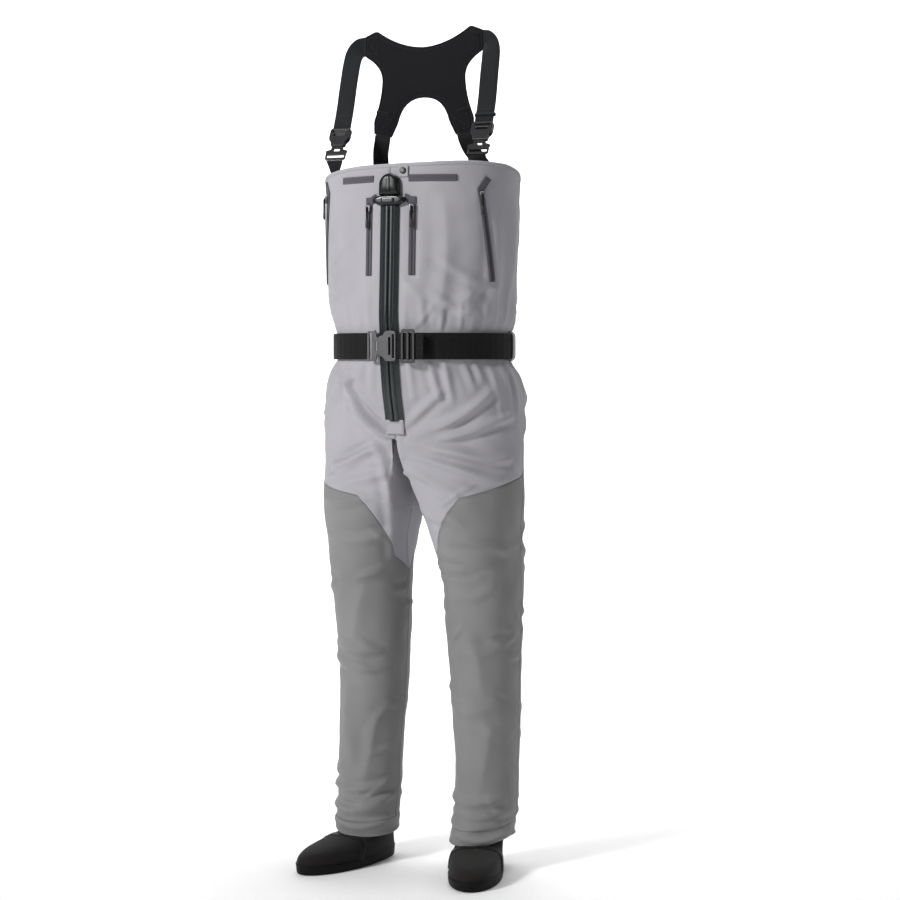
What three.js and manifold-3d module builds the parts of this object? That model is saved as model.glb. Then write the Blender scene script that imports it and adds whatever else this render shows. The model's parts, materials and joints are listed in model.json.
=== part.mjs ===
// Stockingfoot chest waders: hollow fabric body with two legs, neoprene booties, a waterproof
// front zip, four pocket zips, a waist belt and an X-shaped shoulder harness.
// Millimetres. +Z is up, the front faces -Y, and the wearer's left is +X. The soles stand on z = 0.
import * as THREE from 'three';
import { mergeVertices } from 'three/addons/utils/BufferGeometryUtils.js';
import Module from 'manifold-3d';

const wasm = await Module();
wasm.setup();

// ---------------------------------------------------------------- driving dimensions
const GAP = 0.35;               // clearance between touching pieces
const WALL = 3;                 // fabric wall with its lining
const CROTCH_Z = 838;
const RIM_FRONT_Z = 1363;
const RIM_DROP = 58;            // how much lower the rim is at the back
const SIDE_SEAM = 95;           // degrees from the front centre
const INSEAM_X = 2.2;           // half the space between the legs at the crotch

// Torso sections: height, half width, depth in front of the side plane, depth behind it
const TORSO = [
  [838, 205, 126, 122],
  [872, 207, 130, 126],
  [925, 205, 144, 130],
  [958, 195, 150, 127],
  [985, 178.5, 153.5, 119],
  [1014, 176, 155, 118],
  [1043, 178, 156, 119.5],
  [1070, 185, 158.6, 124],
  [1125, 190, 156.4, 128],
  [1200, 194, 153.3, 127],
  [1290, 197, 149.6, 125],
  [1375, 198, 146.2, 123],
];

// Leg sections: height, centre X, centre Y, half width, half depth
const LEG = [
  [838, 104, 0, 101, 122],
  [770, 106, 2, 98, 122],
  [700, 107, 4, 95, 118],
  [640, 112, 10, 87, 106],
  [594, 117, 16, 80, 97],
  [540, 119, 22, 76, 90],
  [480, 119, 27, 74, 85],
  [410, 120, 31, 69, 80],
  [340, 120.5, 32, 66, 76],
  [270, 123, 30, 64, 74],
  [200, 126, 27, 62.5, 72],
  [130, 126, 20, 61, 70],
  [80, 124, 8, 60, 70],
  [55, 122, 4, 60, 70],
];
const LEG_ROUND_Z = 660;        // below this a leg is a plain oval, above it flattens at the inseam

// Top edge of the dark lower-leg panels: degrees from the front towards the outside, height
const PANEL_EDGE = [
  [-94, 582],
  [-55, 607],
  [-41, 626],
  [-10, 716],
  [3, 718],
  [119, 763],
  [180, 770],
  [190, 768],
  [221, 640],
  [235, 612],
  [266, 582],
];

const CUFF = { low: 60, high: 88 };

// Foot: ankle place, outward turn, and sections (height, heel reach, toe reach, half width)
const FOOT = { x: 118, y: 12, turn: 16 };
const BOOTIE = [
  [12.4, 58, 203, 49],
  [20, 60, 205, 50],
  [30, 59, 200, 49.5],
  [39, 58, 184, 48.5],
  [46, 57.5, 152, 47],
  [52, 57, 112, 45.5],
  [58, 56, 72, 44.5],
  [68, 55, 62, 43.5],
  [90, 54, 57, 42.5],
  [125, 52, 53, 42.5],
  [162, 52, 51, 44],
];
const BOOTIE_WALL = 4;
const SOLE = [
  [0, 55, 198, 46],
  [4, 60, 206, 50.5],
  [12, 60.5, 206.5, 51],
];

const ZIP = { top: 1328, low: 873, half: 19, off: 1, thick: 2.6 };
const CHEST_ZIP = { x: 44, top: 1284, low: 1147, half: 5.5 };
const SIDE_ZIP = { top: 1310, low: 1135, topAngle: 52.9, lowAngle: 64.8, half: 6 };
const PULL = { length: 40, width: 5, thick: 3 };

const BELT = { z: 1014, width: 50, off: 6, thick: 3 };
const BUCKLE_OFF = 9.7;
const WEBBING = 38;
const STRAP_THICK = 2.4;

const HARNESS_HINGE = { x: 118, y: 87, z: 1328 };
const LOOP_TOP = { x: 149, y: -84, z: 1374 };
const YOKE = { y: 4, thick: 4 };

// ---------------------------------------------------------------- finishes
const finish = (color, roughness, metalness = 0) => ({ color, roughness, metalness });
const FINISH = {
  light: finish(0xb4b3b8, 0.8),
  dark: finish(0x808283, 0.8),
  trim: finish(0x55535a, 0.75),
  black: finish(0x1c1d20, 0.9),
  slate: finish(0x262b2f, 0.85),
  bootie: finish(0x2d2b2a, 0.9),
  sole: finish(0x0e0e0e, 0.8),
  moulded: finish(0x131a1c, 0.35),
  buckle: finish(0x47484a, 0.5),
  slider: finish(0xa9abad, 0.3, 1),
};

const group = new THREE.Group();

function add(name, geometry, look) {
  const mesh = new THREE.Mesh(geometry, new THREE.MeshStandardMaterial(FINISH[look]));
  mesh.name = name;
  group.add(mesh);
  return mesh;
}

// ---------------------------------------------------------------- small tools
const radians = THREE.MathUtils.degToRad;
const point = (x, y, z) => new THREE.Vector3(x, y, z);

// Smooth curve through rows sorted by their first column, in either direction
function along(rows, at, column) {
  const sign = Math.sign(rows[1][0] - rows[0][0]);
  let i = 0;
  while (i < rows.length - 2 && sign * (at - rows[i + 1][0]) > 0) i += 1;
  const slope = (k) => {
    const before = rows[Math.max(k - 1, 0)];
    const after = rows[Math.min(k + 1, rows.length - 1)];
    return (after[column] - before[column]) / (after[0] - before[0]);
  };
  const step = rows[i + 1][0] - rows[i][0];
  const s = THREE.MathUtils.clamp((at - rows[i][0]) / step, 0, 1);
  const rise = rows[i + 1][column] - rows[i][column];
  const startBend = slope(i) * step - rise;
  const endBend = rise - slope(i + 1) * step;
  return rows[i][column] + s * rise + s * (1 - s) * ((1 - s) * startBend + s * endBend);
}

// Straight-line version of the same
function between(rows, at) {
  let i = 0;
  while (i < rows.length - 2 && at > rows[i + 1][0]) i += 1;
  const [start, end] = [rows[i], rows[i + 1]];
  return THREE.MathUtils.mapLinear(at, start[0], end[0], start[1], end[1]);
}

// One closed body from a three.js geometry: shared corners joined, collapsed faces dropped
function closed(geometry) {
  geometry.deleteAttribute('normal');
  geometry.deleteAttribute('uv');
  const merged = mergeVertices(geometry, 1e-3);
  const corners = merged.index.array;
  const kept = [];
  for (let i = 0; i < corners.length; i += 3) {
    const [a, b, c] = corners.slice(i, i + 3);
    if (a !== b && b !== c && c !== a) kept.push(a, b, c);
  }
  merged.setIndex(kept);
  merged.computeVertexNormals();
  return merged;
}

// The same piece for the wearer's right
function mirrored(geometry) {
  const copy = geometry.clone().scale(-1, 1, 1);
  const corners = copy.index.array;
  for (let i = 0; i < corners.length; i += 3) {
    [corners[i], corners[i + 1]] = [corners[i + 1], corners[i]];
  }
  copy.computeVertexNormals();
  return copy;
}

function addPair(name, geometry, look) {
  add(`left_${name}`, geometry, look);
  add(`right_${name}`, mirrored(geometry), look);
}

// A block whose three directions run from 0 to 1 and are bent into place by place(u, v, w)
function bentBlock(across, up, place) {
  const block = new THREE.BoxGeometry(1, 1, 1, across, up, 1);
  const position = block.attributes.position;
  for (let i = 0; i < position.count; i += 1) {
    const spot = place(position.getX(i) + 0.5, position.getY(i) + 0.5, position.getZ(i) + 0.5);
    position.setXYZ(i, spot.x, spot.y, spot.z);
  }
  return closed(block);
}

// A turned body: profile row k is a ring placed by place(k, angle), or a pole on the axis
function turned(rings, poles, segments, place) {
  const profile = rings.map((ring, k) => new THREE.Vector2(poles.includes(k) ? 0 : 1, k));
  const lathe = new THREE.LatheGeometry(profile, segments);
  const position = lathe.attributes.position;
  for (let i = 0; i < position.count; i += 1) {
    const k = Math.round(position.getY(i));
    const spot = place(rings[k], Math.atan2(position.getX(i), position.getZ(i)), poles.includes(k));
    position.setXYZ(i, spot.x, spot.y, spot.z);
  }
  return closed(lathe);
}

function toManifold(geometry) {
  const bare = closed(geometry);
  return new wasm.Manifold(new wasm.Mesh({
    numProp: 3,
    vertProperties: new Float32Array(bare.attributes.position.array),
    triVerts: new Uint32Array(bare.index.array),
  }));
}

function fromManifold(manifold) {
  const mesh = manifold.getMesh();
  const geometry = new THREE.BufferGeometry();
  geometry.setAttribute('position', new THREE.BufferAttribute(mesh.vertProperties, 3));
  geometry.setIndex(new THREE.BufferAttribute(mesh.triVerts, 1));
  geometry.computeVertexNormals();
  return geometry;
}

// ---------------------------------------------------------------- body surfaces
// Angle 0 is the front centre and grows towards the wearer's left. off is outward from the face.
function onTorso(degrees, z, off) {
  const angle = radians(degrees);
  const depth = along(TORSO, z, Math.cos(angle) > 0 ? 2 : 3) + off;
  return point((along(TORSO, z, 1) + off) * Math.sin(angle), -depth * Math.cos(angle), z);
}

function torsoAngle(x, z) {
  return THREE.MathUtils.radToDeg(Math.asin(x / along(TORSO, z, 1)));
}

function rimHeight(degrees) {
  return RIM_FRONT_Z - RIM_DROP * ((1 - Math.cos(radians(degrees))) / 2) ** 1.5;
}

// Reach from the leg's centre to the half-torso outline at the crotch
function crotchReach(centreX, sine, cosine) {
  const [, halfWidth, front, back] = TORSO[0];
  const depth = cosine > 0 ? front : back;
  const a = (sine / halfWidth) ** 2 + (cosine / depth) ** 2;
  const b = centreX * sine / halfWidth ** 2;
  const c = (centreX / halfWidth) ** 2 - 1;
  const oval = (-b + Math.sqrt(b * b - a * c)) / a;
  return sine < 0 ? Math.min(oval, (INSEAM_X - centreX) / sine) : oval;
}

// Left leg. Angle 0 is the front and grows towards the outside.
function onLeg(degrees, z, off) {
  const [sine, cosine] = [Math.sin(radians(degrees)), Math.cos(radians(degrees))];
  const [x, y, halfWidth, halfDepth] = [1, 2, 3, 4].map((column) => along(LEG, z, column));
  const oval = 1 / Math.hypot(sine / halfWidth, cosine / halfDepth);
  const flat = THREE.MathUtils.smoothstep(z, LEG_ROUND_Z, CROTCH_Z);
  const reach = THREE.MathUtils.lerp(oval, crotchReach(x, sine, cosine), flat) + off;
  return point(x + reach * sine, y - reach * cosine, z);
}

// Left foot: level section at height z, angle 0 towards the toes
function onFoot(rows, angle, z, inset) {
  const [heel, toe, half] = [1, 2, 3].map((column) => along(rows, z, column) - inset);
  const middle = (toe - heel) / 2;
  const ahead = middle + Math.cos(angle) * (toe + heel) / 2;
  const ball = 1 + 0.1 * Math.cos(angle);
  const aside = Math.sin(angle) * half * ball;
  const turn = radians(FOOT.turn);
  return point(
    FOOT.x + ahead * Math.sin(turn) + aside * Math.cos(turn),
    FOOT.y - ahead * Math.cos(turn) + aside * Math.sin(turn),
    z,
  );
}

// A fabric panel on a surface: from angle a to b, between two edges that may follow the angle
function panel(surface, [from, to], [low, high], [inner, outer], across, up) {
  return bentBlock(across, up, (u, v, w) => {
    const degrees = THREE.MathUtils.lerp(from, to, u);
    const z = THREE.MathUtils.lerp(low(degrees), high(degrees), v);
    return surface(degrees, z, THREE.MathUtils.lerp(inner, outer, w));
  });
}

// ---------------------------------------------------------------- bib and legs
const shell = [-WALL, 0];
const torsoSpan = [() => CROTCH_Z + GAP, rimHeight];
const seamGap = 0.12;           // degrees, half the gap at a seam
const frontPanel = panel(onTorso, [seamGap, SIDE_SEAM], torsoSpan, shell, 12, 16);
add('bib_left_front', frontPanel, 'light');
add('bib_right_front', mirrored(frontPanel), 'light');
const backSpan = [SIDE_SEAM + 2 * seamGap, 360 - SIDE_SEAM - 2 * seamGap];
add('bib_back', panel(onTorso, backSpan, torsoSpan, shell, 20, 14), 'light');

const edge = (degrees) => between(PANEL_EDGE, degrees);
const FRONT_HALF = [-90, 90];
const BACK_HALF = [90.4, 269.6];
const underGusset = (degrees) => Math.sin(radians(degrees)) < -0.6;
const thighTop = (degrees) => CROTCH_Z - (underGusset(degrees) ? 3.5 : 0);
const thighSpan = [(degrees) => edge(degrees) + GAP, thighTop];
const shinSpan = [() => CUFF.high + GAP, (degrees) => edge(degrees) - GAP];
addPair('thigh_front', panel(onLeg, FRONT_HALF, thighSpan, shell, 14, 5), 'light');
addPair('thigh_back', panel(onLeg, BACK_HALF, thighSpan, shell, 14, 5), 'light');
addPair('shin_panel', panel(onLeg, FRONT_HALF, shinSpan, shell, 14, 8), 'dark');
addPair('calf_panel', panel(onLeg, BACK_HALF, shinSpan, shell, 14, 8), 'dark');

// The gusset bridges the two inseams just under the torso panels
const GUSSET = { half: 9, low: CROTCH_Z - 3, reach: 118 };
add('crotch_gusset', bentBlock(2, 10, (u, v, w) => point(
  THREE.MathUtils.lerp(-GUSSET.half, GUSSET.half, u),
  THREE.MathUtils.lerp(-GUSSET.reach, GUSSET.reach, v),
  GUSSET.low + 2.9 * w,
)), 'light');

// Doubled hem with elastic at the end of each leg
const cuffRings = [[CUFF.low, 0], [CUFF.high, 0], [CUFF.high, -WALL], [CUFF.low, -WALL], [CUFF.low, 0]];
addPair('gravel_cuff', turned(cuffRings, [], 24, ([z, off], angle) => (
  onLeg(THREE.MathUtils.radToDeg(angle), z, off)
)), 'dark');

// ---------------------------------------------------------------- booties
const outside = BOOTIE.map(([z]) => [z, 0]);
const inside = BOOTIE.slice(1).reverse().map(([z]) => [z, BOOTIE_WALL]);
const floorRing = [BOOTIE[0][0] + BOOTIE_WALL, BOOTIE_WALL];
const bootieRings = [[BOOTIE[0][0], 0], ...outside, ...inside, floorRing, floorRing];
const HALF_TURN = Math.PI / 2;
const footMiddle = (rows, z) => (
  onFoot(rows, HALF_TURN, z, 0).lerp(onFoot(rows, -HALF_TURN, z, 0), 0.5)
);
addPair('bootie', turned(bootieRings, [0, bootieRings.length - 1], 20, ([z, inset], angle, pole) => (
  pole ? footMiddle(BOOTIE, z) : onFoot(BOOTIE, angle, z, inset)
)), 'bootie');

const soleRings = [[SOLE[0][0]], ...SOLE, [SOLE[2][0]]];
addPair('bootie_sole', turned(soleRings, [0, soleRings.length - 1], 20, ([z], angle, pole) => (
  pole ? footMiddle(SOLE, z) : onFoot(SOLE, angle, z, 0)
)), 'sole');

// ---------------------------------------------------------------- zips
// A tape stitched on the torso: its middle angle follows the height
function tape(middle, low, high, fromX, toX, off, thick, rows) {
  return bentBlock(2, rows, (u, v, w) => {
    const z = THREE.MathUtils.lerp(low, high, v);
    const width = THREE.MathUtils.lerp(fromX, toX, u);
    const turn = radians(middle(z));
    const girth = along(TORSO, z, 1) * Math.cos(turn) + along(TORSO, z, 2) * Math.sin(turn);
    const degrees = middle(z) + THREE.MathUtils.radToDeg(width / girth);
    return onTorso(degrees, z, off + thick * w);
  });
}

addPair('main_zip_tape', tape(() => 0, ZIP.low, ZIP.top, 0.2, ZIP.half, ZIP.off, ZIP.thick, 20), 'moulded');

const chestAngle = (z) => torsoAngle(CHEST_ZIP.x, z);
const pocketTape = (zip, middle, rows) => tape(middle, zip.low, zip.top, -zip.half, zip.half, GAP, 2, rows);
const chestTape = pocketTape(CHEST_ZIP, chestAngle, 8);
addPair('chest_zip_tape', chestTape, 'trim');

const sideAngle = (z) => THREE.MathUtils.mapLinear(
  z, SIDE_ZIP.low, SIDE_ZIP.top, SIDE_ZIP.lowAngle, SIDE_ZIP.topAngle,
);
const sideTape = pocketTape(SIDE_ZIP, sideAngle, 10);
addPair('side_zip_tape', sideTape, 'trim');

// Outline in the plane of width and height, extruded by thick and turned to face outward
function plate(outline, thick, holes = []) {
  const shape = new THREE.Shape(outline.map(([x, y]) => new THREE.Vector2(x, y)));
  shape.holes = holes.map((hole) => new THREE.Path(hole.map(([x, y]) => new THREE.Vector2(x, y))));
  const geometry = new THREE.ExtrudeGeometry(shape, { depth: thick, bevelEnabled: false });
  return geometry.translate(0, 0, -thick / 2);
}

// Moves a piece drawn in X (width), Y (length), Z (thickness) to a place and three directions
function standing(geometry, origin, width, length) {
  const across = width.clone().normalize();
  const up = length.clone().normalize();
  const out = across.clone().cross(up);
  geometry.applyMatrix4(new THREE.Matrix4().makeBasis(across, up, out).setPosition(origin));
  return geometry;
}

const rectangle = (halfWidth, low, high) => [
  [-halfWidth, low], [halfWidth, low], [halfWidth, high], [-halfWidth, high],
];

// Main zip: a moulded dome closes its top, and the wide slider parks under it
const zipFront = (z) => -along(TORSO, z, 2);
const DOCK = { half: 21, low: 1296.5, shoulder: 1316, off: 8.9, thick: 9 };
const dockArc = new THREE.Path();
dockArc.absarc(0, DOCK.shoulder, DOCK.half, 0, Math.PI);
const dockOutline = [[-DOCK.half, DOCK.low], [DOCK.half, DOCK.low]];
dockArc.getPoints(8).forEach((spot) => dockOutline.push([spot.x, spot.y]));
const X = point(1, 0, 0);
const zipUp = point(0, zipFront(1340) - zipFront(1075), 1340 - 1075).normalize();
const zipOut = X.clone().cross(zipUp);
const dockOrigin = point(0, zipFront(DOCK.low), DOCK.low).addScaledVector(zipOut, DOCK.off);
const dock = plate(dockOutline.map(([x, y]) => [x, y - DOCK.low]), DOCK.thick);
add('main_zip_dock', closed(standing(dock, dockOrigin, X, zipUp)), 'moulded');

const sliderOutline = [
  [-20, 0], [20, 0], [27, 4], [32, 6], [33, 15], [27, 18], [20, 19],
  [-20, 19], [-27, 18], [-33, 15], [-32, 6], [-27, 4],
];
const sliderPlace = point(0, zipFront(1277), 1277).addScaledVector(zipOut, DOCK.off);
const sliderBody = plate(sliderOutline, DOCK.thick);
add('main_zip_slider', closed(standing(sliderBody, sliderPlace, X, zipUp)), 'moulded');

// Pocket sliders with a hanging cord pull: top spot, sliding direction and outward direction
function pocketRun(angleAt, top, low) {
  const start = onTorso(angleAt(top), top, 0);
  const end = onTorso(angleAt(low), low, 0);
  const up = start.clone().sub(end).normalize();
  const ahead = onTorso(angleAt(top) + 1, top, 0).sub(onTorso(angleAt(top) - 1, top, 0)).normalize();
  const out = ahead.clone().cross(up).normalize();
  return { start, up, out, ahead: up.clone().cross(out) };
}

const PULL_CORD = { half: 1.8, low: -18, gripTop: -22 };
const pullHalf = [
  [PULL_CORD.half, 0],
  [PULL_CORD.half, PULL_CORD.low],
  [PULL.width / 2, PULL_CORD.gripTop],
];
const pullOutline = [
  ...pullHalf.map(([x, y]) => [-x, y]),
  [-PULL.width / 2, -PULL.length],
  [PULL.width / 2, -PULL.length],
  ...pullHalf.toReversed(),
];
const pocketOutline = [[-4, -14], [4, -14], [5, -4], [4, 0], [-4, 0], [-5, -4]];
const POCKET_SLIDER = { off: 6.4, thick: 4, hangOff: 10.4, hangDrop: 5 };
for (const [name, angleAt, top, low] of [
  ['chest', chestAngle, CHEST_ZIP.top - 4, CHEST_ZIP.low + 6],
  ['side', sideAngle, SIDE_ZIP.top - 6, SIDE_ZIP.low + 8],
]) {
  const run = pocketRun(angleAt, top, low);
  const place = run.start.clone().addScaledVector(run.out, POCKET_SLIDER.off);
  const sliderPlate = plate(pocketOutline, POCKET_SLIDER.thick);
  addPair(`${name}_zip_slider`, closed(standing(sliderPlate, place, run.ahead, run.up)), 'slider');
  const hang = run.start.clone().addScaledVector(run.out, POCKET_SLIDER.hangOff);
  hang.addScaledVector(run.up, -POCKET_SLIDER.hangDrop);
  const pullAcross = point(run.ahead.x, run.ahead.y, 0);
  const pullPlate = plate(pullOutline, PULL.thick);
  addPair(`${name}_zip_pull`, closed(standing(pullPlate, hang, pullAcross, point(0, 0, 1))), 'black');
}

// Patch under the zip's lower end, two hem tapes and the snap tab beside the dock
const patchSpan = [() => ZIP.low - 26, () => ZIP.low - GAP];
add('zip_end_patch', panel(onTorso, [-5, 5], patchSpan, [1.8, 3], 2, 2), 'light');
addPair('hem_tape', panel(onTorso, [10.5, 30], [() => 1322, () => 1335], [GAP, 1.5], 6, 1), 'trim');
const TAB = { x: 25.5, low: 1331, high: 1352, half: 9.5 };
const tabPlace = onTorso(torsoAngle(TAB.x, TAB.low), TAB.high, 2.6);
const tabAcross = onTorso(12, TAB.low, 0).sub(onTorso(3, TAB.low, 0)).setZ(0);
const tabPlate = plate(rectangle(TAB.half, TAB.low - TAB.high, 0), 1.6);
add('snap_tab', closed(standing(tabPlate, tabPlace, tabAcross, zipUp)), 'light');
const tabOut = tabAcross.clone().cross(zipUp).normalize();
const snap = new THREE.CylinderGeometry(6.2, 6.8, 2, 20).rotateX(Math.PI / 2).translate(0, -9.5, 0);
const snapPlace = tabPlace.clone().addScaledVector(tabOut, 2.2);
add('snap_cap', closed(standing(snap, snapPlace, tabAcross, zipUp)), 'black');

// ---------------------------------------------------------------- buckles
// Side-release buckle drawn with its width in X and its length in Y, male base at y = 0
const BUCKLE = { length: 70, male: 3.6, female: 9.6, cavity: 6.4 };
const maleOutline = [
  [-19, 0], [19, 0], [21.5, 3], [21.5, 15], [23, 18], [22, 20.5], [13, 23], [11.5, 30], [11.5, 44],
  [8, 47], [5.5, 47], [5, 31], [3, 31], [2, 40], [-2, 40], [-3, 31], [-5, 31], [-5.5, 47],
  [-8, 47], [-11.5, 44], [-11.5, 30], [-13, 23], [-22, 20.5], [-23, 18], [-21.5, 15], [-21.5, 3],
];
const maleHoles = [rectangle(18.5, 4.5, 10.5), rectangle(6.5, 19, 25)];
const femaleOutline = [
  [-14, 30.5], [14, 30.5], [15, 38], [19.5, 43], [21.5, 49], [21.5, 66], [18.5, 70],
  [-18.5, 70], [-21.5, 66], [-21.5, 49], [-19.5, 43], [-15, 38],
];
const femaleHoles = [rectangle(17, 61.5, 66), rectangle(12.5, 52.5, 57.5)];

function male() {
  return plate(maleOutline, BUCKLE.male, maleHoles);
}

// The housing is open towards the male half and at both sides, where the latch arms show
function female() {
  const body = toManifold(plate(femaleOutline, BUCKLE.female, femaleHoles));
  const mouth = toManifold(new THREE.BoxGeometry(24.6, 30, BUCKLE.cavity).translate(0, 35, 0));
  const windows = toManifold(new THREE.BoxGeometry(60, 6, BUCKLE.cavity).translate(0, 44, 0));
  return fromManifold(body.subtract(mouth).subtract(windows));
}

// Shoulder buckles lie along the circle in which the harness swings about its back anchors
const middleReach = 38;
const swing = point(0, LOOP_TOP.y - HARNESS_HINGE.y, LOOP_TOP.z - HARNESS_HINGE.z);
const lean = Math.atan2(swing.z, -swing.y) + Math.asin(middleReach / swing.length());
const buckleUp = point(0, Math.sin(lean), Math.cos(lean));
const loopTop = point(LOOP_TOP.x, LOOP_TOP.y, LOOP_TOP.z);
addPair('shoulder_buckle_male', closed(standing(male(), loopTop, X, buckleUp)), 'buckle');
addPair('shoulder_buckle_female', closed(standing(female(), loopTop, X, buckleUp)), 'buckle');

// ---------------------------------------------------------------- webbing
// A flat ribbon through rows of [centre, width direction]
function ribbon(rows, width, thick, steps) {
  const path = new THREE.CatmullRomCurve3(rows.map(([centre]) => centre), false, 'centripetal');
  const sides = new THREE.CatmullRomCurve3(rows.map(([, side]) => side), false, 'centripetal');
  return bentBlock(1, steps, (u, v, w) => {
    const tangent = path.getTangent(v);
    const side = sides.getPoint(v);
    side.addScaledVector(tangent, -side.dot(tangent)).normalize();
    const out = side.clone().cross(tangent);
    const place = path.getPoint(v).addScaledVector(side, (u - 0.5) * width);
    return place.addScaledVector(out, (w - 0.5) * thick);
  });
}

const level = (degrees) => point(Math.cos(radians(degrees)), Math.sin(radians(degrees)), 0);
const atBuckle = (reach) => loopTop.clone().addScaledVector(buckleUp, reach);
addPair('bib_loop', ribbon([
  [point(LOOP_TOP.x, -84, 1334), level(40)],
  [point(LOOP_TOP.x, -82.5, 1349), level(39)],
  [point(LOOP_TOP.x, -83, 1362), level(20)],
  [atBuckle(-1.2), level(0)],
], WEBBING - 3, STRAP_THICK, 8), 'black');

const strapTop = BUCKLE.length + GAP;
addPair('front_strap', ribbon([
  [atBuckle(strapTop), point(1, 0, 0)],
  [point(149, -36, 1478), point(1, 0, 0)],
  [point(148, -22, 1530), point(1, 0, 0)],
  [point(146.5, -9, 1572), point(0.97, 0, 0.15)],
  [point(142, -2, 1590), point(0.74, 0, 0.68)],
  [point(134, 2.4, 1599), point(0.1, 0, 1)],
  [point(126.5, YOKE.y, 1600.5), point(0, 0, 1)],
], WEBBING, STRAP_THICK, 20), 'slate');

// ---------------------------------------------------------------- back yoke and back straps
// Half outline of the neoprene yoke: neckline, shoulder arm, waist, leg of the X, arch
const NECK_Z = 1591;
const half = new THREE.Path();
half.moveTo(0, NECK_Z);
half.quadraticCurveTo(52, NECK_Z + 2, 99.5, 1627);
half.lineTo(122.5, 1618);
half.lineTo(122.5, 1583);
half.quadraticCurveTo(85, 1563, 85, 1533);
half.quadraticCurveTo(86, 1495, 103, 1455);
half.lineTo(103, 1432);
half.lineTo(70, 1424);
half.lineTo(57, 1450);
half.quadraticCurveTo(45, 1499, 0, 1499);
const halfPoints = half.getPoints(6);
const otherHalf = halfPoints.slice(1, -1).reverse().map((p) => new THREE.Vector2(-p.x, p.y));
const yokeOutline = [...halfPoints, ...otherHalf].reverse();
const yoke = plate(yokeOutline.map((p) => [p.x, p.y]), YOKE.thick);
add('back_yoke', closed(standing(yoke, point(0, YOKE.y, 0), X, point(0, 0, 1))), 'black');

const hingePoint = (drop) => point(HARNESS_HINGE.x, HARNESS_HINGE.y, HARNESS_HINGE.z - drop);
addPair('back_strap', ribbon([
  [hingePoint(-3.5), point(1, 0, 0)],
  [point(116, 74, 1343), point(1, 0, 0)],
  [point(108, 42, 1366), point(1, 0, 0.1)],
  [point(97, 15, 1392), point(0.98, 0, 0.24)],
  [point(90, 6, 1412), point(0.97, 0, 0.24)],
  [point(87, YOKE.y, 1425.5), point(0.97, 0, 0.236)],
], WEBBING - 4, STRAP_THICK, 14), 'black');

addPair('back_anchor', ribbon([
  [point(HARNESS_HINGE.x, 90.5, 1280), level(-24.5)],
  [point(HARNESS_HINGE.x, 90, 1299), level(-24)],
  [point(HARNESS_HINGE.x, 88, 1314), level(-16)],
  [hingePoint(1.5), level(0)],
], WEBBING - 4, STRAP_THICK, 8), 'black');

// ---------------------------------------------------------------- waist belt
const beltSpot = (degrees, off, z) => onTorso(degrees, BELT.z, off).setZ(z);
const BELT_RUN = { from: 17.6, to: 345.6 };
add('belt_webbing', bentBlock(56, 1, (u, v, w) => beltSpot(
  THREE.MathUtils.lerp(BELT_RUN.from, BELT_RUN.to, u),
  BELT.off + BELT.thick * w,
  BELT.z + (v - 0.5) * BELT.width,
)), 'black');

// The belt buckle is wider and shorter than a shoulder one, with its length across the front
const beltScale = new THREE.Matrix4().makeScale(1.32, 0.86, 1);
const buckleStart = point(-41, -(along(TORSO, BELT.z, 2) + BUCKLE_OFF), BELT.z);
const down = point(0, 0, -1);
const acrossBelt = (geometry) => closed(standing(geometry.applyMatrix4(beltScale), buckleStart, down, X));
add('belt_buckle_male', acrossBelt(male()), 'buckle');
add('belt_buckle_female', acrossBelt(female()), 'buckle');

const frontOfBelt = (off) => -(along(TORSO, BELT.z, 2) + off);
const TAIL = { from: 19.6, to: 74, off: 10.7, thick: 2.2 };
const tail = new THREE.BoxGeometry(TAIL.to - TAIL.from, TAIL.thick, BELT.width);
tail.translate((TAIL.from + TAIL.to) / 2, frontOfBelt(TAIL.off), BELT.z);
add('belt_tail', closed(tail), 'black');

const glideOutline = [
  [-30, -14], [30, -14], [32, -11], [32, 11],
  [30, 14], [-30, 14], [-32, 11], [-32, -11],
];
const glideHoles = [
  [[-26, -9], [26, -9], [26, -2.5], [-26, -2.5]],
  [[-26, 2.5], [26, 2.5], [26, 9], [-26, 9]],
];
const glide = plate(glideOutline, 3, glideHoles);
add('belt_tri_glide', closed(standing(glide, point(44, frontOfBelt(14), BELT.z), down, X)), 'buckle');

// Side loops hold the belt at the side seams
const LOOP = { reach: 12, low: 985.5, high: 1043.5, foot: 5.2, thick: 2 };
const loopOutline = [
  [LOOP.foot, LOOP.low], [LOOP.reach, LOOP.low], [LOOP.reach, LOOP.high], [LOOP.foot, LOOP.high],
  [LOOP.foot, LOOP.high - LOOP.thick], [LOOP.reach - LOOP.thick, LOOP.high - LOOP.thick],
  [LOOP.reach - LOOP.thick, LOOP.low + LOOP.thick], [LOOP.foot, LOOP.low + LOOP.thick],
];
const loopFoot = onTorso(SIDE_SEAM, BELT.z, 0).setZ(0);
const beltLoop = standing(plate(loopOutline, 16), loopFoot, X, point(0, 0, 1));
addPair('belt_loop', closed(beltLoop), 'light');

// The origin is on the floor under the middle of the whole object
const whole = new THREE.Box3().setFromObject(group);
const middle = whole.getCenter(new THREE.Vector3());
group.position.set(-middle.x, -middle.y, -whole.min.z);

export default group;
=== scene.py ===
"""Chest waders: sewn shell, booties, zips, belt and harness, laid out as an add-on."""

import json
import math

import bmesh
import bpy
import numpy as np
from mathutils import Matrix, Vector, noise as vector_noise
from mathutils.geometry import delaunay_2d_cdt


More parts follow.
